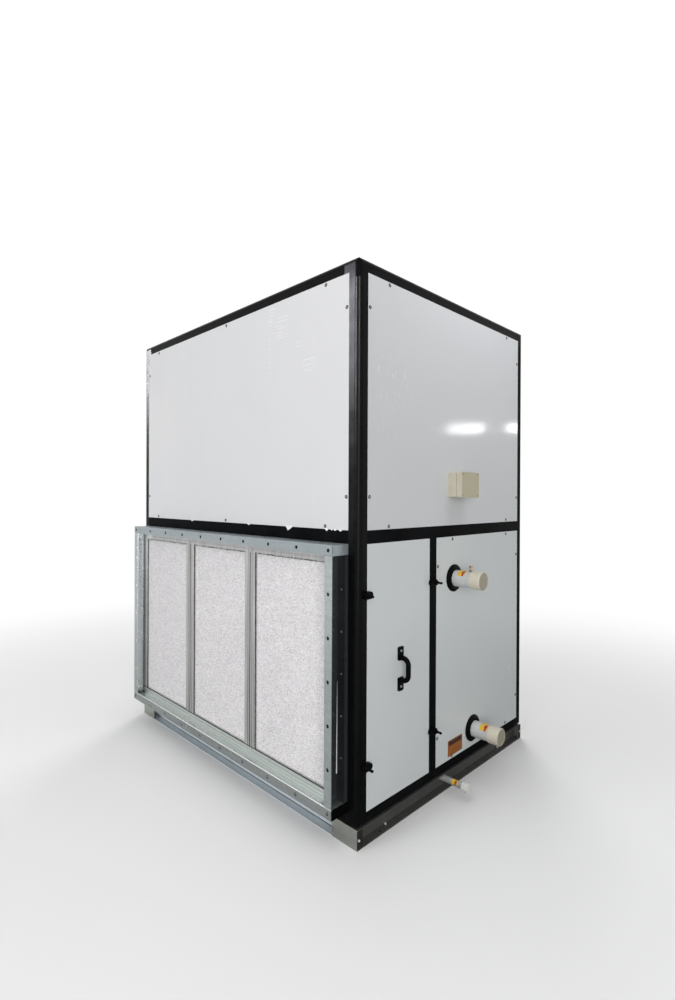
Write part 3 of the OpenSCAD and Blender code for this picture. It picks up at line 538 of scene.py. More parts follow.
FILM = moulded("loose_film", (0.86, 0.865, 0.87), (0.93, 0.935, 0.94), (0.2, 0.3), 900.0, 0.2)
STICKER_YELLOW = vinyl("sticker_yellow", (0.78, 0.50, 0.03), (0.86, 0.58, 0.06))
STICKER_RED = vinyl("sticker_red", (0.42, 0.035, 0.02), (0.52, 0.05, 0.03))
PLATE_ORANGE = vinyl("plate_orange", (0.29, 0.095, 0.013), (0.36, 0.125, 0.02))
PLATE_DARK = vinyl("plate_dark", (0.035, 0.014, 0.006), (0.055, 0.024, 0.01))


def dress_nodes():
    """Gives each node a finish of its own, or else that of its slot in the record."""
    for part in frame["record"]["subparts"]:
        mesh = frame["nodes"][part["node"]].data
        mesh.materials.clear()
        mesh.materials.append(NODE_FINISHES.get(part["node"], FINISHES[part["material_slot"]]))


# Mesh helpers

class Shape:
    """Collects closed shells into one mesh."""

    def __init__(self):
        self.points = []
        self.faces = []

    def add(self, points, faces, place=None):
        first = len(self.points)
        self.points += [tuple(place @ Vector(p)) if place else tuple(p) for p in points]
        self.faces += [[first + i for i in face] for face in faces]

    def piece(self, name, material, slot, body=BODY, smooth=30):
        mesh = bpy.data.meshes.new(name)
        mesh.from_pydata(self.points, [], self.faces)
        mesh.validate()
        mesh.materials.append(material)
        made = bpy.data.objects.new(name, mesh)
        bpy.context.scene.collection.objects.link(made)
        if smooth:
            mesh.shade_smooth()
            mesh.set_sharp_from_angle(angle=math.radians(smooth))
        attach(made, body)
        return made


def facing(at, normal, spin=0.0):
    """Places a shape that is drawn on the XY plane at a point, with its +Z along the normal."""
    turn = Vector(normal).to_track_quat("Z", "Y").to_matrix().to_4x4()
    return Matrix.Translation(at) @ turn @ Matrix.Rotation(spin, 4, "Z")


def loft(rings):
    """Points and faces of a closed shell through rings of equal length, capped at both ends."""
    count = len(rings[0])
    points = [p for ring in rings for p in ring]
    faces = []
    for level in range(len(rings) - 1):
        for i in range(count):
            a, b = level * count + i, level * count + (i + 1) % count
            faces.append((a, b, b + count, a + count))
    faces.append(tuple(reversed(range(count))))
    faces.append(tuple(range((len(rings) - 1) * count, len(rings) * count)))
    return points, faces


def rounded_outline(width, height, radius, steps=5):
    """Outline of a rectangle with round corners, about its middle."""
    points = []
    for turn, (sx, sy) in enumerate(((1, 1), (-1, 1), (-1, -1), (1, -1))):
        for step in range(steps + 1):
            angle = (turn + step / steps) * math.pi / 2
            points.append((sx * (width / 2 - radius) + radius * math.cos(angle),
                           sy * (height / 2 - radius) + radius * math.sin(angle)))
    return points


def plate(width, height, thick, radius, edge):
    """Plate with round corners and a softened upper edge."""
    def level(inset, z):
        outline = rounded_outline(width - 2 * inset, height - 2 * inset, max(radius - inset, 0.1 * radius))
        return [(x, y, z) for x, y in outline]
    return loft([level(0, 0), level(0, thick - edge),
                 level(0.3 * edge, thick - 0.3 * edge), level(edge, thick)])


def grid_faces(columns, rows):
    """Faces of a closed sheet: a front grid of points, then a back grid, row by row."""
    wide, half = columns + 1, (columns + 1) * (rows + 1)
    faces = []
    for j in range(rows):
        for i in range(columns):
            a = j * wide + i
            faces.append((a, a + 1, a + 1 + wide, a + wide))
            faces.append((half + a, half + a + wide, half + a + 1 + wide, half + a + 1))
    rim = list(range(columns))
    rim += [j * wide + columns for j in range(rows)]
    rim += [rows * wide + i for i in range(columns, 0, -1)]
    rim += [j * wide for j in range(rows, 0, -1)]
    for a, b in zip(rim, rim[1:] + rim[:1]):
        faces.append((a, half + a, half + b, b))
    return faces


def even_angles(sides):
    return [2 * math.pi * i / sides for i in range(sides)]


def ring(radius, z, angles):
    return [(radius * math.cos(a), radius * math.sin(a), z) for a in angles]


# Profiles of heads and washers, as shares of their sizes: (radius, height) pairs from the bottom up
SCREW_PROFILE = [(1, 0), (1, 0.25), (0.9, 0.42), (0.72, 0.54), (0.55, 0.58)]
SCREW_ARM = 0.42
SCREW_SLOT = 0.13
SCREW_DEPTH = 0.25
WASHER_PROFILE = [(0.5, 0), (0.5, 0.1), (0.47, 0.13)]
HEXAGON_PROFILE = [(1, 0.12), (1, 0.65), (0.86, 0.75)]


def screw_head(diameter):
    """Pan head with a cross recess."""
    radius = diameter / 2
    arm, slot = SCREW_ARM * radius, SCREW_SLOT * radius
    quarter = [(arm, -slot), (arm, slot), (slot, slot)]
    cross = []
    for turn in range(4):
        c, s = round(math.cos(turn * math.pi / 2)), round(math.sin(turn * math.pi / 2))
        cross += [(c * x - s * y, s * x + c * y) for x, y in quarter]
    angles = [math.atan2(y, x) for x, y in cross]
    levels = [ring(r * radius, z * radius, angles) for r, z in SCREW_PROFILE]
    levels.append([(x, y, SCREW_PROFILE[-1][1] * radius) for x, y in cross])
    levels.append([(0.9 * x, 0.9 * y, SCREW_DEPTH * radius) for x, y in cross])
    return loft(levels)


def hex_bolt(across, washer):
    """Hexagon head with a chamfered top on a round washer."""
    corner = across / math.sqrt(3)
    disc = loft([ring(r * washer, z * across, even_angles(24)) for r, z in WASHER_PROFILE])
    head = loft([ring(r * corner, z * across, even_angles(6)) for r, z in HEXAGON_PROFILE])
    return disc, head


def screw_piece(name, diameter, normal, places, material, slot="drain_steel"):
    """Like screws on one face, from (place, turn of the recess) pairs."""
    shape = Shape()
    head = screw_head(diameter)
    for place, spin in places:
        shape.add(*head, facing(place, normal, spin))
    shape.piece(name, material, slot)


# Screws round the panels

PANEL_SCREW = 7 * MM
PANEL_SCREW_SPIN = 0.7
PANEL_WASHER = 14 * MM
WASHER_T = 0.8 * MM
WASHER_EDGE = 0.3 * MM
SCREW_IN = 11 * MM
SCREW_FROM_END = 125 * MM
LONG_EDGE = 1.5
PANEL_NORMALS = {
    "front_upper_panel": (0, -1, 0), "rear_upper_panel": (0, 1, 0), "rear_lower_panel": (0, 1, 0),
    "right_upper_panel": (1, 0, 0), "coil_panel": (1, 0, 0),
    "left_upper_panel": (-1, 0, 0), "left_lower_panel": (-1, 0, 0), "roof_panel": (0, 0, 1),
}


def edge_stations(low, high):
    stations = [low + SCREW_FROM_END, high - SCREW_FROM_END]
    if high - low > LONG_EDGE:
        stations.append((low + high) / 2)
    return stations


def panel_screw_places(name, normal):
    """Screws along the four edges of a panel's outer face."""
    low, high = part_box(name)
    out = [abs(n) for n in normal].index(1)
    u, v = [axis for axis in range(3) if axis != out]
    level = high[out] if normal[out] > 0 else low[out]
    for along, across in ((u, v), (v, u)):
        for station in edge_stations(low[along], high[along]):
            for edge in (low[across] + SCREW_IN, high[across] - SCREW_IN):
                place = [0.0, 0.0, 0.0]
                place[along], place[across], place[out] = station, edge, level
                yield place


def panel_screws():
    """Bright screws on dark sealing washers."""
    heads, washers = Shape(), Shape()
    head = screw_head(PANEL_SCREW)
    washer = plate(PANEL_WASHER, PANEL_WASHER, WASHER_T, PANEL_WASHER / 2, WASHER_EDGE)
    for name, normal in PANEL_NORMALS.items():
        for count, place in enumerate(panel_screw_places(name, normal)):
            washers.add(*washer, facing(place, normal))
            seat = Vector(place) + WASHER_T * Vector(normal)
            heads.add(*head, facing(seat, normal, PANEL_SCREW_SPIN * count))
    heads.piece("panel_screws", SCREW_ZINC, "drain_steel")
    washers.piece("panel_washers", FINISHES["black_plastic"], "black_plastic")


STRIP_SCREW = 7 * MM
STRIP_SCREW_SPIN = 0.5
STRIP_SCREW_X = 803 * MM
STRIP_SCREW_Z = [326 * MM, 483 * MM, 641 * MM, 798 * MM, 956 * MM]


def strip_screws():
    """Rows of screws down the black strips beside the inlet."""
    low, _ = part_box("inlet_side_strips")
    places = [((side * STRIP_SCREW_X, low.y, z), STRIP_SCREW_SPIN * count)
              for side in (-1, 1) for count, z in enumerate(STRIP_SCREW_Z)]
    screw_piece("strip_screws", STRIP_SCREW, (0, -1, 0), places, SCREW_ZINC)


CHANNEL_SCREW = 8 * MM
CHANNEL_SCREW_SPIN = 0.9
CHANNEL_SCREW_PITCH = 177.8 * MM
CHANNEL_SCREW_IN = 50 * MM
CHANNEL_SCREW_PAIRS = 4


def channel_screws():
    """Row of screws on the top of the inlet collar, between the flange holes."""
    low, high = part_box("inlet_top_channel")
    places = [((count * CHANNEL_SCREW_PITCH, low.y + CHANNEL_SCREW_IN, high.z), CHANNEL_SCREW_SPIN * count)
              for count in range(-CHANNEL_SCREW_PAIRS, CHANNEL_SCREW_PAIRS + 1)]
    screw_piece("channel_screws", CHANNEL_SCREW, (0, 0, 1), places, SCREW_DARK)


BASE_BOLT = 7 * MM
BASE_WASHER = 9.5 * MM
BASE_BOLT_IN = 9 * MM
BASE_BOLT_SPIN = 0.3
RAIL_BOLT = (840 * MM, 452 * MM, 3 * MM)


def base_bolts():
    """Hexagon bolts through the returns of the base corner plates and the lower lips of the side rails."""
    low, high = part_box("base_corner_plates")
    places = []
    for x, normal in ((low.x, (-1, 0, 0)), (high.x, (1, 0, 0))):
        for y in (low.y + BASE_BOLT_IN, high.y - BASE_BOLT_IN):
            places.append(((x, y, (low.z + high.z) / 2), normal))
    x, y, z = RAIL_BOLT
    for place in ((-x, -y, z), (-x, y, z), (x, -y, z), (x, y, z)):
        places.append((place, (0, 0, 1)))
    shape = Shape()
    for place, normal in places:
        for part in hex_bolt(BASE_BOLT, BASE_WASHER):
            shape.add(*part, facing(place, normal, BASE_BOLT_SPIN))
    shape.piece("base_bolts", BOLT_ZINC, "drain_steel")


COVER_T = 1.2 * MM
COVER_R = 3 * MM
COVER_EDGE = 0.4 * MM


def channel_covers():
    """Black plates over the open ends of the collar's lower channel."""
    low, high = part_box("inlet_bottom_channel")
    deep, tall = high.y - low.y - COVER_T, high.z - low.z
    shape = Shape()
    for x, normal in ((low.x, (-1, 0, 0)), (high.x, (1, 0, 0))):
        middle = (x, (low.y + high.y + COVER_T) / 2, (low.z + high.z) / 2)
        shape.add(*plate(deep, tall, COVER_T, COVER_R, COVER_EDGE), facing(middle, normal))
    shape.piece("channel_covers", SHADED_BLACK, "black_profile")


# Loose protective film

FILM_T = 0.3 * MM
WRINKLE_HIGH = 0.9 * MM
WRINKLE_WIDE = 4 * MM
WRINKLE_TIP = 0.06
WRINKLE_STEPS = 8
WRINKLE_SIDES = 6
WRINKLE_SHIFT = 3 * MM
WRINKLE_BOW = 2 * MM
WRINKLE_GROUPS = [
    # rows of each group on the front panel, then in mm its left end, lowest level, length and pitch
    (6, 322, 2046, 70, 13),
    (7, 372, 1976, 105, 14),
    (9, 330, 1820, 26, 21),
    (2, 508, 1918, 60, 17),
    (3, 560, 1812, 110, 20),
]


def wrinkle(x, z, length, rise, y):
    """Low ridge in the film that tapers to both ends."""
    rings = []
    for step in range(WRINKLE_STEPS + 1):
        share = step / WRINKLE_STEPS
        swell = max(WRINKLE_TIP, math.sin(math.pi * share))
        middle = z + rise * math.sin(math.pi * share)
        section = []
        for turn in range(WRINKLE_SIDES + 1):
            angle = math.pi * turn / WRINKLE_SIDES
            section.append((x + length * share, y - WRINKLE_HIGH * swell * math.sin(angle),
                            middle + WRINKLE_WIDE / 2 * swell * math.cos(angle)))
        rings.append(section)
    return loft(rings)


def film_wrinkles():
    """Places where the film has lifted off the front panel."""
    low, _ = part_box("front_upper_panel")
    shape = Shape()
    for rows, *sizes in WRINKLE_GROUPS:
        x, z, length, pitch = (size * MM for size in sizes)
        for row in range(rows):
            stir = noise.noise(Vector((x * 30, z * 30, row * 1.7)))
            shorter = length * (0.75 + 0.4 * stir)
            start = x + 0.25 * length * noise.noise(Vector((row * 2.3, x * 20, 4.1)))
            level = z + row * pitch + WRINKLE_SHIFT * stir
            shape.add(*wrinkle(start, level, shorter, WRINKLE_BOW * stir, low.y))
    shape.piece("film_wrinkles", FILM, "white_panel", smooth=60)


TAB_STATIONS = (-0.35, 0.0, 0.4, 0.75, 1.0)
TAB_TAPER = 1.06
FILM_TABS = [
    # in mm: place along the lower edge of the front panel, width, length, lean and curl of the tip
    (477, 44, 15, -2, 5),
    (704, 20, 8, 2, 3),
    (731, 14, 4, 3, 2),
    (752, 18, 5, -3, 2),
    (778, 22, 6, 4, 3),
    (188, 24, 5, 5, 2),
    (-312, 30, 6, -4, 3),
]


def film_tabs():
    """Torn corners of film that hang over the rail under the front panel."""
    low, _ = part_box("front_upper_panel")
    shape = Shape()
    for sizes in FILM_TABS:
        x, width, length, lean, curl = (size * MM for size in sizes)
        rings = []
        for share in TAB_STATIONS:
            half = width / 2 * min(1.0, TAB_TAPER - share)
            middle, z = x + lean * max(share, 0), low.z - length * share
            y = low.y - FILM_T - curl * max(share, 0) ** 2
            rings.append([(middle - half, y, z), (middle + half, y, z),
                          (middle + half, y - FILM_T, z), (middle - half, y - FILM_T, z)])
        shape.add(*loft(rings))
    shape.piece("film_tabs", FILM, "white_panel", smooth=60)


SLIVER_Z = (262 * MM, 610 * MM)
SLIVER_WIDE = 5 * MM
SLIVER_TAPER = 0.9
SLIVER_STEPS = 4


def film_slivers():
    """Narrow wedges of film left in the corner between the collar's cheeks and the black strips."""
    low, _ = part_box("inlet_side_strips")
    shape = Shape()
    for side in (-1, 1):
        rings = []
        inner, outer = side * CHEEK_X, side * (CHEEK_X + FILM_T)
        for step in range(SLIVER_STEPS + 1):
            share = step / SLIVER_STEPS
            z = SLIVER_Z[0] + share * (SLIVER_Z[1] - SLIVER_Z[0])
            front = low.y - SLIVER_WIDE * (1.0 - SLIVER_TAPER * share)
            rings.append([(inner, front, z), (inner, low.y, z), (outer, low.y, z), (outer, front, z)])
        shape.add(*loft(rings))
    shape.piece("film_slivers", FILM, "white_panel", smooth=0)


# Filters

MESH_LENGTH = 12 * MM
MESH_RISE = 6 * MM
STRAND_WIDE = 1.8 * MM
STRAND_DEEP = 1.0 * MM
MESH_BEHIND = 3.6 * MM


def filter_mesh(name, node):
    """Expanded metal: zigzag strands that meet their neighbours at every bend."""
    x0, x1, z0, z1 = filter_opening(node)
    bends = 2 * round((x1 - x0) / MESH_LENGTH)
    rows = round((z1 - z0) / MESH_RISE) - 1
    rise = (z1 - z0) / rows
    i = np.arange(bends + 1)
    x = x0 + (x1 - x0) * i / bends
    section = np.array([(-0.5, -0.5), (0.5, -0.5), (0.5, 0.5), (-0.5, 0.5)]) * (STRAND_DEEP, STRAND_WIDE)
    points = np.empty((rows, bends + 1, 4, 3))
    for row in range(rows):
        z = z0 + rise * (row + (i + row) % 2)
        points[row, :, :, 0] = x[:, None]
        points[row, :, :, 1] = FILTER_FRONT + MESH_BEHIND + section[None, :, 0]
        points[row, :, :, 2] = np.clip(z[:, None] + section[None, :, 1], z0, z1)
    index = np.arange(points.size // 3).reshape(rows, bends + 1, 4)
    turned = np.roll(index, -1, axis=2)
    sides = np.stack([index[:, :-1], index[:, 1:], turned[:, 1:], turned[:, :-1]], axis=-1).reshape(-1, 4)
    caps = np.concatenate([index[:, 0], index[:, -1, ::-1]])
    shape = Shape()
    shape.add(points.reshape(-1, 3).tolist(), np.concatenate([sides, caps]).tolist())
    shape.piece(name, MESH_WIRE, "filter_aluminium", smooth=0)


PAD_CELL = 8 * MM
PAD_WAVE = 1.2 * MM
PAD_MARGIN = 14 * MM
PAD_CLEAR = 0.3 * MM
PAD_TUCK = 7 * MM
PAD_TUCK_WIDE = 7 * MM


def pad_front(x, z, clear):
    """How far the fibre mat stands back from its fullest point, also where it tucks in under its frame."""
    broad = noise.noise(Vector((x * 9, 3.7, z * 9)))
    fine = noise.noise(Vector((x * 70, 8.1, z * 70)))
    tuck = max(0.0, 1.0 - max(clear, 0.0) / PAD_TUCK_WIDE) ** 2
    return PAD_WAVE * (0.5 - 0.35 * broad - 0.15 * fine) + PAD_TUCK * tuck


def pad_stations(low, high, margin):
    """Grid lines across a mat: close together beside the frame's edge, even between."""
    edge = [0.0, margin, margin + 0.3 * PAD_TUCK_WIDE, margin + 0.6 * PAD_TUCK_WIDE]
    start, end = low + margin + PAD_TUCK_WIDE, high - margin - PAD_TUCK_WIDE
    count = round((end - start) / PAD_CELL)
    between = [start + (end - start) * i / count for i in range(count + 1)]
    return [low + e for e in edge] + between + [high - e for e in reversed(edge)]


def filter_pads():
    """Three fibre mats in the grooves of their frames, uneven at the front."""
    low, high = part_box("filter_pads")
    shape = Shape()
    groove = FILTER_STILE - PAD_MARGIN
    for node in FILTERS:
        frame_low, frame_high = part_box(node)
        x0, x1 = frame_low.x + groove + PAD_CLEAR, frame_high.x - groove - PAD_CLEAR
        margin = PAD_MARGIN - PAD_CLEAR
        across, up = pad_stations(x0, x1, margin), pad_stations(low.z, high.z, margin)
        front, back = [], []
        for z in up:
            for x in across:
                clear = min(x - x0, x1 - x, z - low.z, high.z - z) - margin
                front.append((x, low.y + pad_front(x, z, clear), z))
                back.append((x, high.y, z))
        shape.add(front + back, grid_faces(len(across) - 1, len(up) - 1))
    made = shape.piece("filter_mats", FINISHES["filter_pad"], "filter_pad", smooth=60)
    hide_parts("filter_pads")


SEAL_WIDE = 4 * MM
SEAL_T = 0.6 * MM
SEAL_R = 0.8 * MM
SEAL_EDGE = 0.2 * MM


def filter_seals():
    """Black felt that closes the joints between neighbouring filters, from bar to bar."""
    shape = Shape()
    for left, right in zip(FILTERS, FILTERS[1:]):
        low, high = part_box(left)
        x = (high.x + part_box(right)[0].x) / 2
        middle = (x, low.y, (low.z + high.z) / 2)
        length = high.z - low.z - 2 * FILTER_BAR
        shape.add(*plate(SEAL_WIDE, length, SEAL_T, SEAL_R, SEAL_EDGE), facing(middle, (0, -1, 0)))
    shape.piece("filter_seals", FINISHES["black_plastic"], "black_plastic")


# Stickers and plates

STICKER_T = 0.35 * MM
STICKER_GAP = 0.1 * MM
ARROW_SHARE = 0.52
ARROW_SHORT = 0.1
ARROW_T = 0.6 * STICKER_T
SHAFT_SHARE = 0.4
SHAFT_WIDE = 0.5
ARROW_TIP = 0.02


def on_pipe(outline, radius, thick, y, z):
    """A patch bent round a pipe along X. The outline gives (x, angle), with the angle up from -Y."""
    shells = []
    for r in (radius, radius + thick):
        shells.append([(x, y - r * math.cos(a), z + r * math.sin(a)) for x, a in outline])
    return loft(shells)


def strips_on_pipe(shape, x0, x1, a0, a1, radius, thick, y, z, width=None, steps=14):
    """A bent patch made of narrow closed bars. width(share) narrows it along its arc."""
    for i in range(steps):
        b0, b1 = a0 + (a1 - a0) * i / steps, a0 + (a1 - a0) * (i + 1) / steps
        middle, half = (x0 + x1) / 2, (x1 - x0) / 2
        w0, w1 = (half * width(i / steps), half * width((i + 1) / steps)) if width else (half, half)
        outline = [(middle + w0, b0), (middle + w1, b1), (middle - w1, b1), (middle - w0, b0)]
        shape.add(*on_pipe(outline, radius, thick, y, z))


def arrow_width(share):
    """Half width of an arrow that points up its arc: a shaft, then a head."""
    if share < SHAFT_SHARE:
        return SHAFT_WIDE
    return max(ARROW_TIP, 1.0 - (share - SHAFT_SHARE) / (1.0 - SHAFT_SHARE))


PIPE_STICKERS = [
    # node, place along the pipe and arc of the patch in degrees
    ("upper_water_pipe", (905 * MM, 940 * MM), (28, 100)),
    ("lower_water_pipe", (924 * MM, 960 * MM), (28, 100)),
    ("drain_pipe", (912 * MM, 938 * MM), (-10, 110)),
]


def pipe_stickers():
    """Yellow patches with a red arrow each."""
    yellow, red = Shape(), Shape()
    for node, (x0, x1), (a0, a1) in PIPE_STICKERS:
        low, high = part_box(node)
        radius = (high.y - low.y) / 2
        y, z = (low.y + high.y) / 2, (low.z + high.z) / 2
        a0, a1 = math.radians(a0), math.radians(a1)
        strips_on_pipe(yellow, x0, x1, a0, a1, radius + STICKER_GAP, STICKER_T, y, z)
        strips_on_pipe(red, x1 - ARROW_SHARE * (x1 - x0), x1, a0, a1 - ARROW_SHORT * (a1 - a0),
                       radius + STICKER_GAP + STICKER_T, ARROW_T, y, z, arrow_width)
    yellow.piece("pipe_stickers", STICKER_YELLOW, "white_plastic")
    red.piece("pipe_arrows", STICKER_RED, "white_plastic")


PLATE_Y = (-55 * MM, 62 * MM)
PLATE_Z = (139 * MM, 210 * MM)
PLATE_T = 0.8 * MM
PLATE_R = 4 * MM
PLATE_EDGE = 0.3 * MM
BAND_UP = 0.3
BAND_TALL = 0.28
BAND_SHORTER = 10 * MM
BAND_T = 0.3 * MM
BAND_R = 2 * MM
BAND_EDGE = 0.1 * MM


def blank_plate():
    """Plain orange plate on the coil panel, with a darker band at its top."""
    _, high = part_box("coil_panel")
    width, height = PLATE_Y[1] - PLATE_Y[0], PLATE_Z[1] - PLATE_Z[0]
    place = Matrix.Translation((high.x, sum(PLATE_Y) / 2, sum(PLATE_Z) / 2))
    place @= Matrix(((0, 0, 1, 0), (1, 0, 0, 0), (0, 1, 0, 0), (0, 0, 0, 1)))
    shape = Shape()
    shape.add(*plate(width, height, PLATE_T, PLATE_R, PLATE_EDGE), place)
    shape.piece("blank_plate", PLATE_ORANGE, "white_plastic")
    band = Shape()
    lifted = place @ Matrix.Translation((0, BAND_UP * height, PLATE_T))
    band.add(*plate(width - BAND_SHORTER, BAND_TALL * height, BAND_T, BAND_R, BAND_EDGE), lifted)
    band.piece("blank_plate_band", PLATE_DARK, "white_plastic")


# Junction box and handle screws

LID_SCREW = 7 * MM
LID_SCREW_IN = 9.5 * MM
LID_RECESS = 3 * MM
LID_SCREW_SPIN = 0.4


def lid_screws():
    """Screws sunk in the corners of the junction box's lid."""
    low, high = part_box("junction_box_lid")
    places = [((high.x - LID_RECESS, y, z), LID_SCREW_SPIN)
              for y in (low.y + LID_SCREW_IN, high.y - LID_SCREW_IN)
              for z in (low.z + LID_SCREW_IN, high.z - LID_SCREW_IN)]
    screw_piece("lid_screws", LID_SCREW, (1, 0, 0), places, FINISHES["black_plastic"], "black_plastic")


HANDLE_FOOT = 34 * MM
HANDLE_FOOT_T = 5 * MM
HANDLE_SCREW = 11 * MM
HANDLE_SCREW_SPIN = 0.6


def handle_screws():
    """One screw in each foot of the handle."""
    low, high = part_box("access_handle")
    places = [((low.x + HANDLE_FOOT_T, (low.y + high.y) / 2, z), HANDLE_SCREW_SPIN)
              for z in (low.z + HANDLE_FOOT / 2, high.z - HANDLE_FOOT / 2)]
    screw_piece("handle_screws", HANDLE_SCREW, (1, 0, 0), places, SCREW_ZINC)


# Studio

FLOOR_SIZE = 40.0
FADE_START = 1.6
FADE_END = 4.5
FLOOR_TONE = (0.95, 0.95, 0.95)
FLOOR_UNDER = (865 * MM, 640 * MM)
BOUNCE_FRONT = (0.75, 0.75, 0.75)
BOUNCE_SIDE = (0.28, 0.28, 0.28)
BOUNCE_EDGE = (-0.5, 0.3)


def white_to_lens(tree):
    """1 for rays that show the background: from the camera, from gloss and through glass."""
    path = new_node(tree, "ShaderNodeLightPath")
    total = path.outputs["Is Camera Ray"]
    for name in ("Is Glossy Ray", "Is Transmission Ray"):
        total = combined(tree, total, path.outputs[name], "MAXIMUM")
    return total


AMBIENT = 0.36


def add_world():
    world = bpy.data.worlds.new("studio")
    bpy.context.scene.world = world
    world.use_nodes = True
    tree = world.node_tree
    background = tree.nodes["Background"]
    background.inputs["Color"].default_value = (1, 1, 1, 1)
    strength = spread(tree, white_to_lens(tree), AMBIENT, 1.0, 0.0, 1.0)
    tree.links.new(strength, background.inputs["Strength"])


def floor_finish():
    """Pale, with painted shadow under the unit, and fading to white further off, with less bounce at the
    rear right.
    """
    material, tree, shader = new_finish("floor", Roughness=0.9, Specular_IOR_Level=0.0)
    path = new_node(tree, "ShaderNodeLightPath")
    across = new_node(tree, "ShaderNodeVectorMath", {1: (-1, -1, 0)}, operation="DOT_PRODUCT")
    tree.links.new(placed(tree), across.inputs[0])
    front = spread(tree, across.outputs["Value"], 0.0, 1.0, *BOUNCE_EDGE)
    bounce = blended(tree, front, BOUNCE_SIDE, BOUNCE_FRONT)
    tone = blended(tree, path.outputs["Is Camera Ray"], bounce, FLOOR_TONE)
    under = within(tree, X=(0.0, FLOOR_UNDER[0]), Y=(-FLOOR_UNDER[1], FLOOR_UNDER[1]))
    painted(tree, shader, blended(tree, under, tone, PAINTED_SHADE))
    length = new_node(tree, "ShaderNodeVectorMath", operation="LENGTH")
    tree.links.new(placed(tree), length.inputs[0])
    far = new_node(tree, "ShaderNodeMapRange", {"From Min": FADE_START, "From Max": FADE_END},
                   interpolation_type="SMOOTHSTEP")
    tree.links.new(length.outputs["Value"], far.inputs["Value"])
    seen = combined(tree, far.outputs["Result"], white_to_lens(tree), "MULTIPLY")
    glow = new_node(tree, "ShaderNodeEmission", {"Color": (1, 1, 1, 1), "Strength": 1.0})
    mix = new_node(tree, "ShaderNodeMixShader")
    tree.links.new(seen, mix.inputs["Fac"])
    tree.links.new(shader.outputs["BSDF"], mix.inputs[1])
    tree.links.new(glow.outputs["Emission"], mix.inputs[2])
    tree.links.new(mix.outputs["Shader"], tree.nodes["Material Output"].inputs["Surface"])
    return material


def add_floor():
    """Floor that keeps the shadow near the unit."""
    mesh = bpy.data.meshes.new("floor")
    half = FLOOR_SIZE / 2
    corners = [(-half, -half, 0), (half, -half, 0), (half, half, 0), (-half, half, 0)]
    mesh.from_pydata(corners, [], [(0, 1, 2, 3)])
    mesh.materials.append(floor_finish())
    floor = bpy.data.objects.new("floor", mesh)
    bpy.context.scene.collection.objects.link(floor)


def add_lamp(name, at, aim, size, power, gloss_only=False, colour=(1, 1, 1), only_on=(), not_on=()):
    """Rectangular lamp. A gloss-only one shows in reflections and lights nothing else.
    only_on names the nodes that it reaches, or not_on those that it leaves out."""
    data = bpy.data.lights.new(name, "AREA")
    data.shape = "RECTANGLE"
    data.size, data.size_y = size
    data.energy = power
    data.color = colour
    lamp = bpy.data.objects.new(name, data)
    bpy.context.scene.collection.objects.link(lamp)
    lamp.location = at
    lamp.rotation_euler = (Vector(aim) - Vector(at)).to_track_quat("-Z", "Y").to_euler()
    lamp.visible_camera = False
    lamp.visible_diffuse = not gloss_only
    if only_on or not_on:
        receivers = bpy.data.collections.new(name)
        for node in (*only_on, *not_on):
            receivers.objects.link(frame["nodes"][node])
        for item in receivers.collection_objects:
            item.light_linking.link_state = "INCLUDE" if only_on else "EXCLUDE"
        lamp.light_linking.receiver_collection = receivers


UPPER_PANEL = ("right_upper_panel",)
LOWER_PANELS = ("access_panel", "coil_panel")


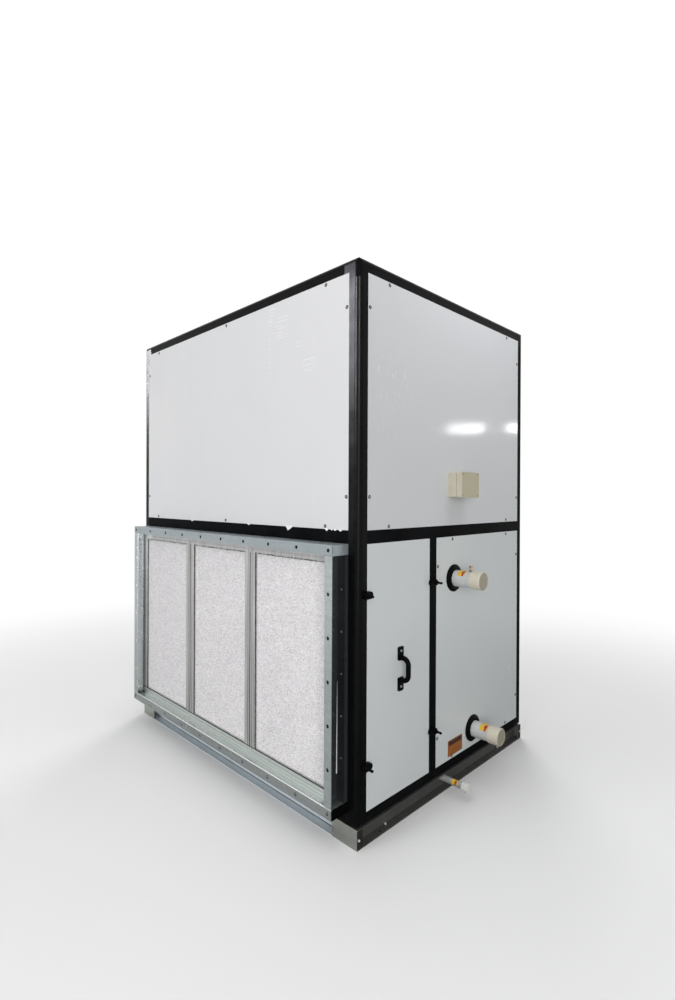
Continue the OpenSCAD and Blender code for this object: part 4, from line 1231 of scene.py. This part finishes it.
def add_lamps():
    """Place, aim, size and power of each lamp. Some share a place and reach different nodes."""
    add_lamp("key", (-1.4, -5.9, 3.1), (-0.2, -0.65, 1.1), (2.4, 2.4), 53)
    add_lamp("ceiling", (0.5, -2.9, 5.2), (0.1, -1.2, 0.0), (3.0, 3.0), 46)
    fill = (4.6, -3.4, 1.6), (0.87, 0.0, 0.8), (2.5, 2.5)
    add_lamp("fill", *fill, 124, not_on=UPPER_PANEL + LOWER_PANELS)
    add_lamp("upper_fill", *fill, 79, only_on=UPPER_PANEL)
    add_lamp("lower_fill", *fill, 103, only_on=LOWER_PANELS)
    windows = (-3.3, -2.85, 3.1), (-3.3, -0.65, 2.3), (4.8, 1.1)
    add_lamp("high_windows", *windows, 1010, gloss_only=True, colour=(0.91, 0.90, 1.0),
             only_on=("front_posts", "corner_connectors"))
    add_lamp("edge_window", (0.26, -2.87, 2.75), (0.85, -0.65, 1.9), (0.35, 1.1), 240, gloss_only=True,
             only_on=("front_posts",))
    add_lamp("side_window", (2.8, -1.9, 2.75), (0.87, -0.63, 1.9), (0.35, 1.1), 110, gloss_only=True,
             only_on=("front_posts",))
    add_lamp("window_glow", *windows, 36, gloss_only=True, only_on=("inlet_bottom_channel", *FILTERS))
    add_lamp("tube", (3.4, 4.25, 2.24), (0.87, 0.08, 1.62), (0.46, 0.13), 2.6, gloss_only=True)
    add_lamp("far_tube", (3.4, 5.8, 2.40), (0.87, 0.5, 1.65), (0.32, 0.13), 2.0, gloss_only=True)
    add_lamp("high_side", (1.5, 0.2, 3.1), (0.87, 0.15, 1.9), (0.8, 0.3), 9.2, colour=(0.94, 0.97, 1.0),
             only_on=UPPER_PANEL)
    add_lamp("left_glow", (-2.0, -1.9, 1.0), (-0.6, -0.65, 1.4), (0.6, 0.6), 4.6,
             only_on=("front_upper_panel",))
    add_lamp("top", (0.0, 0.4, 6.0), (0.0, 0.0, 2.0), (4.0, 4.0), 60)
    add_lamp("back", (-3.5, 5.0, 3.5), (0.0, 0.65, 1.2), (3.0, 3.0), 160)


bpy.context.scene.view_settings.view_transform = "Standard"
add_camera()
add_world()
add_floor()
add_lamps()
dress_nodes()
panel_screws()
strip_screws()
channel_screws()
base_bolts()
channel_covers()
film_wrinkles()
film_tabs()
film_slivers()
for node in FILTERS:
    filter_mesh(node.replace("_frame", "_mesh"), node)
filter_pads()
filter_seals()
pipe_stickers()
blank_plate()
lid_screws()
handle_screws()
